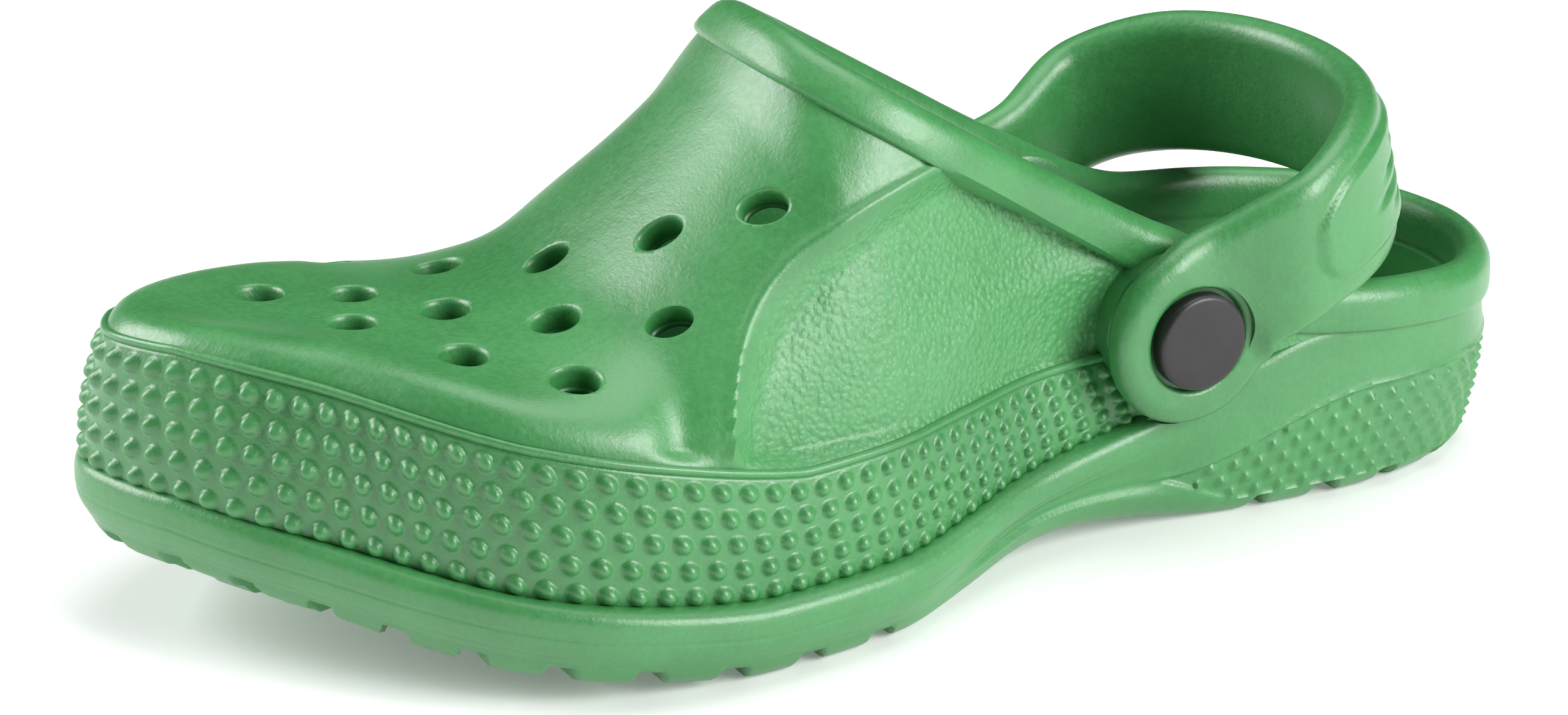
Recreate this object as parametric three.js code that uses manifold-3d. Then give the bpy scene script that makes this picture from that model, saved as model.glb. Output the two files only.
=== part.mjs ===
// Garden clog for a left foot: one moulded foam shoe, a swinging heel strap and two snap rivets.
// Millimetres, +Z up. The toe points along -Y and the outer (little toe) side is +X.
// The origin is on the ground, in the middle of the shoe's length and width.
import * as THREE from 'three';
import { mergeVertices } from 'three/addons/utils/BufferGeometryUtils.js';
import Module from 'manifold-3d';

const wasm = await Module();
wasm.setup();

// ---- Overall sizes ----
const SHOE_LENGTH = 262;
const SHOE_WIDTH = 107;
const VAMP_HEIGHT = 97.5; // top of the instep at the collar
const HEEL_RIM_HEIGHT = 40.5; // top of the rolled rim at the sides of the heel
const PEAK_BACK = -0.063; // the collar's peak, as a share of the length
const OPENING_SLOPE = 0.65; // fall of the collar towards the heel
// ---- Walls and sole ----
const WALL = 6.2; // foam thickness of the upper
const ROLL_PROUD = 2.0; // how far the rolled rim stands out from the wall
const ROLL_INSIDE = 0.9; // how far the rolled rim stands in from the wall
const ROLL_HEIGHT = 9.0; // how wide the rolled rim is along the wall
const SOLE_RIM = 14.5; // height of the sole's side, up to its bead
const FOOTBED = 17; // height of the insole surface above the ground
const TOE_SPRING = 15.3; // how far the toe's underside lifts
const ARCH_LIFT = 4; // how far the underside lifts at the waist
const BAND_INSET = 6.5; // how far the top of the toe band is set back from the sole
const TOE_BAND_LEAN = 0.085; // extra height of the toe band per millimetre outwards
const TOE_BAND_TOP = 54.5; // height of the toe band at the tip of the toe
const TOE_TOP = 54; // top of the toe box along its middle
const SIDE_BAND_TOP = 34; // height of the band along the side
const HEEL_BAND_DROP = 10; // how much lower the heel's plain wall starts
// ---- Vent holes ----
const VENT_BORE = 9.6;
// ---- Strap and rivets ----
const PIVOT_BACK = 51.3; // hinge line behind the middle of the shoe
const PIVOT_HEIGHT = 38; // hinge line above the ground
const PAD_RADIUS = 13.8; // flat seat on the wall for the strap's ear
const PAD_PROUD = 3.0; // how far that seat stands out from the wall
const EAR_RADIUS = 15.8;
const EAR_THICKNESS = 6.4;
const EAR_BORE = 9.4;
const STRAP_REACH = 54.5; // hinge line to the back of the strap
const STRAP_RISE = 20.5; // how much higher the back of the strap lies than its hinge
const STRAP_THICKNESS = 6.4;
const STRAP_WIDTH = 27;
const STRAP_TILT = 0.3; // how far the band leans in at its top, in radians
const STRAP_FLARE = 5.5; // how far each arm bows out behind its ear
const CAP_DIAMETER = 17.2;
const CAP_THICKNESS = 3.2;
const CAP_RECESS = 1.6; // how deep the cap sits in the ear
const POST_DIAMETER = 8.6;
const SOCKET_DIAMETER = 17;
const SOCKET_THICKNESS = 3.4;
const SOCKET_DEPTH = 1.8; // how deep the post goes into the socket
const GAP = 0.35; // clearance between pieces that touch

// Plan outline at the sole's widest level, anticlockwise from the heel's tip.
// Each point is a share of the width across and of the length along.
const OUTLINE = [
  [-0.022, 0.498], [-0.252, 0.464], [-0.338, 0.394], [-0.348, 0.297], [-0.342, 0.187],
  [-0.352, 0.073], [-0.407, -0.059], [-0.479, -0.201], [-0.495, -0.308], [-0.484, -0.369],
  [-0.439, -0.421], [-0.35, -0.468], [-0.22, -0.497], [-0.079, -0.485], [0.065, -0.451],
  [0.196, -0.405], [0.322, -0.36], [0.416, -0.315], [0.477, -0.259], [0.5, -0.19],
  [0.498, -0.129], [0.465, -0.048], [0.4, 0.016], [0.325, 0.089], [0.293, 0.18],
  [0.306, 0.283], [0.306, 0.371], [0.25, 0.441], [0.129, 0.484],
];

// ---- Small helpers ----
const clamp01 = (t) => Math.min(1, Math.max(0, t));
const blend = (a, b, t) => a + (b - a) * t;
function ease(from, to, value) {
  const t = clamp01((value - from) / (to - from));
  return t * t * (3 - 2 * t);
}
// A smooth curve through [position, value] pairs, level at both ends.
function through(pairs, at) {
  const n = pairs.length;
  if (at <= pairs[0][0]) return pairs[0][1];
  if (at >= pairs[n - 1][0]) return pairs[n - 1][1];
  let k = 0;
  while (at > pairs[k + 1][0]) k += 1;
  const slope = (i) => {
    if (i <= 0 || i >= n - 1) return 0;
    return (pairs[i + 1][1] - pairs[i - 1][1]) / (pairs[i + 1][0] - pairs[i - 1][0]);
  };
  const h = pairs[k + 1][0] - pairs[k][0];
  const t = (at - pairs[k][0]) / h;
  const a = pairs[k][1] * (1 + 2 * t) * (1 - t) ** 2;
  const b = pairs[k + 1][1] * t * t * (3 - 2 * t);
  return a + b + h * slope(k) * t * (1 - t) ** 2 - h * slope(k + 1) * t * t * (1 - t);
}

// ---- Plan shape ----
const outlineCurve = new THREE.CatmullRomCurve3(
  OUTLINE.map(([x, y]) => new THREE.Vector3(x * SHOE_WIDTH, y * SHOE_LENGTH, 0)),
  true,
);
const edge = outlineCurve.getSpacedPoints(480).slice(0, 480);
// Distance from a centre to the outline along a unit direction.
function reach(cx, cy, dx, dy) {
  let best = 0;
  for (let i = 0; i < edge.length; i += 1) {
    const p = edge[i];
    const q = edge[(i + 1) % edge.length];
    const pu = (p.x - cx) * dy - (p.y - cy) * dx;
    const qu = (q.x - cx) * dy - (q.y - cy) * dx;
    if (pu * qu <= 0 && pu !== qu) {
      const t = pu / (pu - qu);
      const r = (blend(p.x, q.x, t) - cx) * dx + (blend(p.y, q.y, t) - cy) * dy;
      best = Math.max(best, r);
    }
  }
  return best;
}
function midline(y) {
  return (reach(0, y, 1, 0) - reach(0, y, -1, 0)) / 2;
}
const TOE_CENTRE = -0.3 * SHOE_LENGTH;
const HEEL_CENTRE = 0.33 * SHOE_LENGTH;

// ---- Heights along the shoe ----
const along = (share) => share * SHOE_LENGTH;
function soleBottom(y) {
  const toe = clamp01((along(-0.152) - y) / along(0.319));
  const waist = clamp01(Math.abs(y - along(0.105)) / along(0.149));
  const arch = (1 + Math.cos(Math.PI * waist)) / 2;
  return TOE_SPRING * toe ** 1.3 + ARCH_LIFT * arch;
}
// The toe band stands a little higher on the outer side.
function bandTop(y, x) {
  const toe = clamp01((along(-0.114) - y) / along(0.365)) ** 1.15;
  const heel = ease(along(0.16), along(0.3), y);
  const rise = TOE_BAND_TOP - SIDE_BAND_TOP + TOE_BAND_LEAN * x;
  return SIDE_BAND_TOP - HEEL_BAND_DROP * heel + rise * toe;
}
function wallInset(y) {
  return blend(BAND_INSET, 1.2, ease(along(0.127), along(0.297), y));
}
// Top of the instep along its middle; behind the collar it is only the form that is cut away.
function spineHeight(y) {
  return through(
    [
      [along(-0.452), TOE_TOP],
      [along(-0.322), TOE_TOP],
      [along(-0.259), TOE_TOP + 0.5],
      [along(-0.214), TOE_TOP + 4],
      [along(-0.177), TOE_TOP + 11.5],
      [along(-0.097), VAMP_HEIGHT - 12],
      [along(PEAK_BACK), VAMP_HEIGHT],
      [along(0.006), VAMP_HEIGHT + 9],
      [along(0.085), VAMP_HEIGHT + 12],
    ],
    y,
  );
}
function squareness(y) {
  return blend(2, 3.4, ease(along(-0.073), along(0.137), y));
}
// Side view of the opening: straight down from the collar's peak, then level round the heel.
function openingHeight(y) {
  const slope = VAMP_HEIGHT - OPENING_SLOPE * (y - along(PEAK_BACK));
  const level = HEEL_RIM_HEIGHT - 3.5 * ease(along(0.297), along(0.498), y);
  const soft = 4;
  return level + soft * Math.log(1 + Math.exp((slope - level) / soft));
}

// ---- Rings round the shoe ----
function makeStations() {
  const list = [];
  const add = (cx, cy, dx, dy) => list.push({ cx, cy, dx, dy, r: reach(cx, cy, dx, dy) });
  const fan = 12;
  const side = 19;
  for (let i = 0; i <= fan; i += 1) {
    const a = Math.PI * (1 + i / fan);
    add(midline(TOE_CENTRE), TOE_CENTRE, Math.cos(a), Math.sin(a));
  }
  for (let i = 1; i < side; i += 1) {
    const y = blend(TOE_CENTRE, HEEL_CENTRE, i / side);
    add(midline(y), y, 1, 0);
  }
  for (let i = 0; i <= fan; i += 1) {
    const a = (Math.PI * i) / fan;
    add(midline(HEEL_CENTRE), HEEL_CENTRE, Math.cos(a), Math.sin(a));
  }
  for (let i = side - 1; i > 0; i -= 1) {
    const y = blend(TOE_CENTRE, HEEL_CENTRE, i / side);
    add(midline(y), y, -1, 0);
  }
  return list;
}
const stations = makeStations();

// One ring of points. share runs from 0 on the middle line to 1 at the inset edge.
function ring(share, insetAt, heightAt) {
  return stations.map((s) => {
    const edgeX = s.cx + s.r * s.dx;
    const edgeY = s.cy + s.r * s.dy;
    const r = share * Math.max(s.r - insetAt(edgeY), 1);
    const x = s.cx + r * s.dx;
    const y = s.cy + r * s.dy;
    return new THREE.Vector3(x, y, heightAt(edgeY, y, edgeX));
  });
}

// A closed surface through rings of equal length; the first and last rings lie on a line.
function solidFromRings(rings, closed = false) {
  const n = rings[0].length;
  const vertices = rings.flat().flatMap((p) => [p.x, p.y, p.z]);
  const triangles = [];
  const last = closed ? rings.length : rings.length - 1;
  for (let k = 0; k < last; k += 1) {
    const m = (k + 1) % rings.length;
    for (let i = 0; i < n; i += 1) {
      const j = (i + 1) % n;
      triangles.push(k * n + i, k * n + j, m * n + j);
      triangles.push(k * n + i, m * n + j, m * n + i);
    }
  }
  const geometry = new THREE.BufferGeometry();
  geometry.setAttribute('position', new THREE.Float32BufferAttribute(vertices, 3));
  geometry.setIndex(triangles);
  return toSolid(geometry);
}

// ---- Between three.js geometry and solids ----
function toSolid(geometry) {
  const bare = geometry.clone();
  for (const name of Object.keys(bare.attributes)) {
    if (name !== 'position') bare.deleteAttribute(name);
  }
  const merged = mergeVertices(bare, 1e-4);
  const index = merged.getIndex().array;
  const kept = [];
  for (let i = 0; i < index.length; i += 3) {
    const [a, b, c] = [index[i], index[i + 1], index[i + 2]];
    if (a !== b && b !== c && c !== a) kept.push(a, b, c);
  }
  const mesh = new wasm.Mesh({
    numProp: 3,
    vertProperties: new Float32Array(merged.getAttribute('position').array),
    triVerts: new Uint32Array(kept),
  });
  return new wasm.Manifold(mesh);
}
function toGeometry(solid) {
  const mesh = solid.getMesh();
  const geometry = new THREE.BufferGeometry();
  geometry.setAttribute('position', new THREE.BufferAttribute(new Float32Array(mesh.vertProperties), 3));
  geometry.setIndex(new THREE.BufferAttribute(new Uint32Array(mesh.triVerts), 1));
  geometry.computeVertexNormals();
  return geometry;
}
function placed(geometry, matrix) {
  return toSolid(geometry.clone().applyMatrix4(matrix));
}

// ---- Upper form: height of the outer skin over a plan point ----
function outerHeight(x, y) {
  const cy = Math.min(Math.max(y, TOE_CENTRE), HEEL_CENTRE);
  const cx = midline(cy);
  const d = Math.hypot(x - cx, y - cy);
  const dx = d > 1e-6 ? (x - cx) / d : 1;
  const dy = d > 1e-6 ? (y - cy) / d : 0;
  const r = reach(cx, cy, dx, dy);
  const edgeY = cy + r * dy;
  const s = Math.min(1, d / (r - wallInset(edgeY)));
  const low = bandTop(edgeY, cx + r * dx);
  const p = squareness(edgeY);
  return low + (spineHeight(cy) - low) * (1 - s ** p) ** (1 / p);
}

// Rings of a dome that rises from a band to the spine.
function domeRings(count, inset, drop, lowAt) {
  const rings = [];
  for (let k = 0; k <= count; k += 1) {
    const a = (Math.PI / 2) * (k / count);
    rings.push(
      stations.map((s) => {
        const edgeY = s.cy + s.r * s.dy;
        const p = squareness(edgeY);
        const share = k === count ? 0 : Math.cos(a) ** (2 / p);
        const rise = Math.sin(a) ** (2 / p);
        const r = share * (s.r - wallInset(edgeY) - inset);
        const z = blend(lowAt(edgeY, s.cx + s.r * s.dx), spineHeight(s.cy) - drop, rise);
        return new THREE.Vector3(s.cx + r * s.dx, s.cy + r * s.dy, z);
      }),
    );
  }
  return rings;
}

function outerForm() {
  const edgeIn = () => 5;
  const side = (inset, lift) => ring(1, () => inset, (edgeY) => soleBottom(edgeY) + lift);
  const wall = (edgeY) => wallInset(edgeY);
  const foot = (edgeY) => blend(0.3, 0.66, ease(along(-0.46), along(-0.35), edgeY));
  const rings = [
    ring(0, edgeIn, (edgeY, y) => soleBottom(y)),
    ring(0.5, edgeIn, (edgeY, y) => soleBottom(y)),
    ring(0.8, edgeIn, (edgeY, y) => soleBottom(y)),
    ring(1, (e) => 5 + 3 * ease(along(0.3), along(0.45), e), (e) => soleBottom(e)),
    ring(1, (e) => 1.6 + 1.8 * ease(along(0.3), along(0.45), e), (e) => soleBottom(e) + 2.2),
    side(0.3, 5),
    side(0, 9),
    side(0.7, SOLE_RIM - 1.8),
    side(2.2, SOLE_RIM),
    ring(1, (e) => wall(e) * foot(e), (e) => soleBottom(e) + SOLE_RIM + 0.2),
    ring(1, (e) => wall(e) * 0.88, (e, y, x) => bandTop(e, x) - 2),
  ];
  return solidFromRings([...rings, ...domeRings(10, 0, 0, bandTop)]);
}

function footCavity() {
  const bed = (y) => FOOTBED + 0.75 * soleBottom(y);
  const wallIn = (e) => wallInset(e) + WALL;
  const rings = [
    ring(0, wallIn, (e, y) => bed(y)),
    ring(0.5, wallIn, (e, y) => bed(y)),
    ring(1, (e) => wallIn(e) + 3, (e, y) => bed(y)),
    ring(1, wallIn, (e, y) => bed(y) + 3.5),
  ];
  const lowAt = (e, x) => Math.max(bandTop(e, x) - 3, bed(e) + 6);
  return solidFromRings([...rings, ...domeRings(9, WALL, WALL, lowAt)]);
}

// Everything above the opening's side view.
function openingCutter() {
  const shape = new THREE.Shape();
  const steps = 40;
  const top = VAMP_HEIGHT * 2;
  shape.moveTo(along(-0.253), top);
  for (let i = 0; i <= steps; i += 1) {
    const y = blend(along(-0.253), along(0.597), i / steps);
    shape.lineTo(y, openingHeight(y));
  }
  shape.lineTo(along(0.597), top);
  const depth = SHOE_WIDTH * 1.4;
  const block = new THREE.ExtrudeGeometry(shape, { depth, bevelEnabled: false });
  const turn = new THREE.Matrix4().set(0, 0, 1, -depth / 2, 1, 0, 0, 0, 0, 1, 0, 0, 0, 0, 0, 1);
  return placed(block, turn);
}

// Points where the skin meets a height set by its own place along the shoe, round the opening.
function rimLoop(count, drop) {
  const cy = along(0.197);
  const cx = midline(cy);
  const points = [];
  for (let i = 0; i < count; i += 1) {
    const a = (2 * Math.PI * i) / count;
    let near = 0;
    let far = reach(cx, cy, Math.cos(a), Math.sin(a)) - 0.5;
    for (let k = 0; k < 30; k += 1) {
      const r = (near + far) / 2;
      const y = cy + r * Math.sin(a);
      const z = outerHeight(cx + r * Math.cos(a), y);
      if (z > openingHeight(y) - drop) near = r;
      else far = r;
    }
    const x = cx + near * Math.cos(a);
    const y = cy + near * Math.sin(a);
    points.push(new THREE.Vector3(x, y, openingHeight(y) - drop));
  }
  return points;
}
function skinNormal(p) {
  const h = 0.4;
  const zx = (outerHeight(p.x + h, p.y) - outerHeight(p.x - h, p.y)) / (2 * h);
  const zy = (outerHeight(p.x, p.y + h) - outerHeight(p.x, p.y - h)) / (2 * h);
  return new THREE.Vector3(-zx, -zy, 1).normalize();
}

// Outline of a rounded bar, centred, as pairs across and along.
function roundedBar(across, high, corner, steps) {
  const points = [];
  for (const [sx, sy, start] of [[1, 1, 0], [-1, 1, 1], [-1, -1, 2], [1, -1, 3]]) {
    for (let i = 0; i <= steps; i += 1) {
      const a = (Math.PI / 2) * (start + i / steps);
      const x = sx * (across / 2 - corner) + corner * Math.cos(a);
      const y = sy * (high / 2 - corner) + corner * Math.sin(a);
      points.push([x, y]);
    }
  }
  return points;
}

// The thick rounded rim that runs round the whole opening.
function rolledRim() {
  const loop = rimLoop(64, ROLL_HEIGHT / 2);
  const section = roundedBar(WALL + ROLL_PROUD + ROLL_INSIDE, ROLL_HEIGHT, 3.4, 3);
  const n = loop.length;
  const rings = loop.map((p, i) => {
    const tangent = loop[(i + 1) % n].clone().sub(loop[(i - 1 + n) % n]).normalize();
    const out = skinNormal(p);
    const up = new THREE.Vector3().crossVectors(out, tangent).normalize();
    out.crossVectors(tangent, up).normalize();
    const middle = p.clone().addScaledVector(out, (ROLL_PROUD - WALL - ROLL_INSIDE) / 2);
    return section.map(([a, b]) => middle.clone().addScaledVector(out, -a).addScaledVector(up, b));
  });
  return solidFromRings(rings, true);
}

// ---- Vent holes, as plan points on the vamp ----
const VENTS = [
  [-22.3, -97], [-1.2, -89.4], [18.2, -78.3], [32.4, -65],
  [-14.8, -83.3], [-0.2, -73], [15.6, -60.5], [31, -47.5],
  [-38.5, -78], [-20.5, -65.3], [-1, -54], [17, -42], [28, -28.5],
];
function ventCutters() {
  return VENTS.map(([across, back]) => {
    const x = (across / 107) * SHOE_WIDTH;
    const y = (back / 262) * SHOE_LENGTH;
    const top = new THREE.Vector3(x, y, outerHeight(x, y));
    const axis = skinNormal(top);
    const bore = new THREE.CylinderGeometry(VENT_BORE / 2, VENT_BORE / 2, WALL * 4, 14);
    const turn = new THREE.Quaternion().setFromUnitVectors(new THREE.Vector3(0, 1, 0), axis);
    return placed(bore, new THREE.Matrix4().compose(top, turn, new THREE.Vector3(1, 1, 1)));
  });
}

// ---- Hinge line ----
const sides = { outer: 1, inner: -1 };
function wallFace(sign) {
  const wall = reach(0, PIVOT_BACK, sign, 0) - wallInset(PIVOT_BACK);
  return wall + PAD_PROUD;
}
const alongX = new THREE.Matrix4().makeRotationZ(-Math.PI / 2);
// A disc or drum with its axis along X, from one distance to another out from the middle.
function drum(sign, from, to, radius, count = 36) {
  const shape = new THREE.CylinderGeometry(radius, radius, to - from, count);
  const move = new THREE.Matrix4().makeTranslation((sign * (from + to)) / 2, PIVOT_BACK, PIVOT_HEIGHT);
  return placed(shape, move.multiply(alongX));
}

// A turned piece on the hinge line, from pairs of radius and distance out from the middle.
function turned(sign, profile, count = 32) {
  const points = profile.map(([r, out]) => new THREE.Vector2(r, out));
  const move = new THREE.Matrix4().makeTranslation(0, PIVOT_BACK, PIVOT_HEIGHT);
  const turn = new THREE.Matrix4().makeRotationZ((-sign * Math.PI) / 2);
  return placed(new THREE.LatheGeometry(points, count), move.multiply(turn));
}
const earInner = (sign) => wallFace(sign) + GAP;
const earOuter = (sign) => earInner(sign) + EAR_THICKNESS;
const innerSeat = (sign) => wallFace(sign) - PAD_PROUD - WALL - 1.2;

function clogBody() {
  let body = outerForm().subtract(footCavity());
  body = body.subtract(openingCutter());
  body = body.add(rolledRim());
  for (const cutter of ventCutters()) body = body.subtract(cutter);
  for (const sign of Object.values(sides)) {
    const face = wallFace(sign);
    const seat = innerSeat(sign);
    body = body.add(drum(sign, seat, face, PAD_RADIUS));
    body = body.subtract(drum(sign, face, face + 30, EAR_RADIUS + 2));
    body = body.subtract(drum(sign, seat - 9, seat, SOCKET_DIAMETER / 2 + 2));
    body = body.subtract(drum(sign, seat - 5, face + 1, EAR_BORE / 2, 24));
  }
  return body;
}

// ---- Heel strap ----
// Middle of the strap's thickness, from the outer ear round the heel to the inner ear.
function strapPath(count) {
  const out = earInner(1) + STRAP_THICKNESS / 2;
  const inn = earInner(-1) + STRAP_THICKNESS / 2;
  const middle = (out - inn) / 2;
  const half = (out + inn) / 2;
  const depth = STRAP_REACH * 0.64;
  const arm = STRAP_REACH - STRAP_THICKNESS / 2 - depth;
  const points = [];
  for (let i = 0; i <= count; i += 1) {
    const t = i / count;
    const turn = Math.PI * clamp01((t - 0.2) / 0.6);
    const back = t < 0.2 ? blend(6, arm, t / 0.2) : arm + depth * Math.sin(turn);
    const last = t > 0.8 ? blend(arm, 6, (t - 0.8) / 0.2) : back;
    const flare = half + STRAP_FLARE * ease(4, arm + 6, last);
    const x = middle + flare * Math.cos(turn);
    const rise = STRAP_RISE * (1 - (1 - clamp01(last / STRAP_REACH)) ** 2.2);
    points.push(new THREE.Vector3(x, PIVOT_BACK + last, PIVOT_HEIGHT + rise));
  }
  return points;
}
function strapBand() {
  const path = strapPath(44);
  const up = new THREE.Vector3(0, 0, 1);
  const rings = path.map((p, i) => {
    const next = path[Math.min(i + 1, path.length - 1)];
    const before = path[Math.max(i - 1, 0)];
    const tangent = next.clone().sub(before).setZ(0).normalize();
    const out = new THREE.Vector3().crossVectors(tangent, up);
    const width = blend(24, STRAP_WIDTH, ease(PIVOT_BACK, PIVOT_BACK + 25, p.y));
    const section = roundedBar(STRAP_THICKNESS, width, 2.4, 3);
    const tilt = STRAP_TILT * ease(PIVOT_BACK + 8, PIVOT_BACK + 40, p.y);
    const high = up.clone().multiplyScalar(Math.cos(tilt)).addScaledVector(out, -Math.sin(tilt));
    const wide = out.clone().multiplyScalar(Math.cos(tilt)).addScaledVector(up, Math.sin(tilt));
    return section.map(([a, b]) => p.clone().addScaledVector(wide, -a).addScaledVector(high, b));
  });
  const flat = (k) => rings[k].map((p) => new THREE.Vector3(path[k].x, path[k].y, p.z));
  const last = rings.length - 1;
  return solidFromRings([flat(0), ...rings, flat(last)]);
}
function heelStrap() {
  let strap = strapBand();
  for (const sign of Object.values(sides)) {
    const face = earOuter(sign);
    const softened = 1.6;
    strap = strap.add(
      turned(sign, [
        [0, earInner(sign)],
        [EAR_RADIUS, earInner(sign)],
        [EAR_RADIUS, face - softened],
        [EAR_RADIUS - softened * 0.3, face - softened * 0.3],
        [EAR_RADIUS - softened, face],
        [0, face],
      ]),
    );
  }
  for (const sign of Object.values(sides)) {
    const face = earOuter(sign);
    strap = strap.subtract(drum(sign, face - CAP_RECESS, face + 12, CAP_DIAMETER / 2 + GAP * 2));
    strap = strap.subtract(drum(sign, earInner(sign) - 3, face + 1, EAR_BORE / 2, 24));
  }
  return strap;
}

// ---- Snap rivets: a cap with its post outside, a socket inside ----
function rivetCap(sign) {
  const base = earOuter(sign) - CAP_RECESS + GAP;
  const top = base + CAP_THICKNESS;
  const end = innerSeat(sign) - GAP - SOCKET_DEPTH + GAP;
  const r = CAP_DIAMETER / 2;
  return turned(sign, [
    [0, end],
    [POST_DIAMETER / 2, end],
    [POST_DIAMETER / 2, base],
    [r, base],
    [r, top - 1.1],
    [r - 0.4, top - 0.5],
    [r - 1.4, top - 0.15],
    [0, top],
  ]);
}
function rivetSocket(sign) {
  const seat = innerSeat(sign) - GAP;
  const r = SOCKET_DIAMETER / 2;
  return turned(sign, [
    [0, seat - SOCKET_THICKNESS],
    [r - 1.2, seat - SOCKET_THICKNESS],
    [r, seat - SOCKET_THICKNESS + 1.2],
    [r, seat],
    [POST_DIAMETER / 2 + GAP, seat],
    [POST_DIAMETER / 2 + GAP, seat - SOCKET_DEPTH],
    [0, seat - SOCKET_DEPTH],
  ]);
}

// ---- The assembly ----
const parts = new THREE.Group();
function addPart(name, solid, colour, roughness, metalness = 0) {
  const material = new THREE.MeshStandardMaterial({ color: colour, roughness, metalness });
  const mesh = new THREE.Mesh(toGeometry(solid), material);
  mesh.name = name;
  parts.add(mesh);
}
const FOAM = 0x56a060;
const BLACK = 0x464446;
addPart('clog_body', clogBody(), FOAM, 0.45);
addPart('heel_strap', heelStrap(), FOAM, 0.45);
for (const [name, sign] of Object.entries(sides)) {
  addPart(`rivet_cap_${name}`, rivetCap(sign), BLACK, 0.35);
  addPart(`rivet_socket_${name}`, rivetSocket(sign), BLACK, 0.4);
}
// The origin goes under the middle of the shoe's own box.
const shoeBox = new THREE.Box3().setFromObject(parts.getObjectByName('clog_body'));
const middle = shoeBox.getCenter(new THREE.Vector3());
parts.position.set(-middle.x, -middle.y, -shoeBox.min.z);
export default parts;
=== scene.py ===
"""Garden clog: the finished surfaces of a moulded foam shoe, its heel strap and its rivets."""

import math

import bpy
import numpy as np
from bpy.props import FloatProperty, FloatVectorProperty, PointerProperty
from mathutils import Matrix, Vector


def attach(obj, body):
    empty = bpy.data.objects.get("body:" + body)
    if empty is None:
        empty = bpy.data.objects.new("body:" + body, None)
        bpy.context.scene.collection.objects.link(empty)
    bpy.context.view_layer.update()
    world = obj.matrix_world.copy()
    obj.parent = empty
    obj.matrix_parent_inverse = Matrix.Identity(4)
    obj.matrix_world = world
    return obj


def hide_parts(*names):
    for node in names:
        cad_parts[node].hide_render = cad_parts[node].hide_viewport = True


bl_info = {
    "name": "Garden clog",
    "version": (1, 0, 0),
    "blender": (4, 5, 0),
    "location": "View3D > Sidebar > Clog",
    "description": "Builds the surfaces, finishes and stage of a moulded garden clog",
    "category": "Object",
}

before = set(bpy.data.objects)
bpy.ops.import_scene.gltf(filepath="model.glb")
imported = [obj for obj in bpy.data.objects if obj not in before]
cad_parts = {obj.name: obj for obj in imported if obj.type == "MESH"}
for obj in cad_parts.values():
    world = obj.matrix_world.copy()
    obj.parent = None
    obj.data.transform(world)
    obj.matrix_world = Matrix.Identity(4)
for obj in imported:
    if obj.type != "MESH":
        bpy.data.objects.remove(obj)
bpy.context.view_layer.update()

# ---- The shoe's form, in millimetres ----
SHOE_LENGTH = 262.0
SHOE_WIDTH = 107.0
VAMP_HEIGHT = 97.5
HEEL_RIM = 40.5
WALL = 6.2
SOLE_RIM = 14.5
FOOTBED = 17.0
BAND_INSET = 6.5
# The sole from above: shares of the width and the length, from the heel round the inner side.
OUTLINE = (
    (-0.022, 0.498), (-0.252, 0.464), (-0.338, 0.394), (-0.348, 0.297), (-0.342, 0.187),
    (-0.352, 0.073), (-0.407, -0.059), (-0.479, -0.201), (-0.495, -0.308), (-0.484, -0.369),
    (-0.439, -0.421), (-0.35, -0.468), (-0.22, -0.497), (-0.079, -0.485), (0.065, -0.451),
    (0.196, -0.405), (0.322, -0.36), (0.416, -0.315), (0.477, -0.259), (0.5, -0.19),
    (0.498, -0.129), (0.465, -0.048), (0.4, 0.016), (0.325, 0.089), (0.293, 0.18),
    (0.306, 0.283), (0.306, 0.371), (0.25, 0.441), (0.129, 0.484),
)


def ease(a, b, t):
    """Nought before a, one after b, and a smooth S between."""
    t = np.clip((t - a) / (b - a), 0, 1)
    return t * t * (3 - 2 * t)


def mix(a, b, t):
    """a where t is 0, b where t is 1, and straight between."""
    return a + (b - a) * t


def along(share):
    """A share of the shoe's length, in millimetres."""
    return share * SHOE_LENGTH


def round_curve(points, each):
    """Closed centripetal curve through points: a cubic per span, its end slopes from its neighbours."""
    p = np.asarray(points, float)
    p0, p1, p2, p3 = np.roll(p, 1, 0), p, np.roll(p, -1, 0), np.roll(p, -2, 0)

    def gap(a, b):
        return (((b - a) ** 2).sum(1) ** 0.25)[:, None]

    g0, g1, g2 = gap(p0, p1), gap(p1, p2), gap(p2, p3)
    m1 = g1 * ((p1 - p0) / g0 - (p2 - p0) / (g0 + g1) + (p2 - p1) / g1)
    m2 = g1 * ((p2 - p1) / g1 - (p3 - p1) / (g1 + g2) + (p3 - p2) / g2)
    t = (np.arange(each) / each)[None, :, None]
    a, b, m, n = p1[:, None], p2[:, None], m1[:, None], m2[:, None]
    c = a + m * t + (3 * (b - a) - 2 * m - n) * t**2 + (2 * (a - b) + m + n) * t**3
    return c.reshape(-1, p.shape[1])


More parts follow.
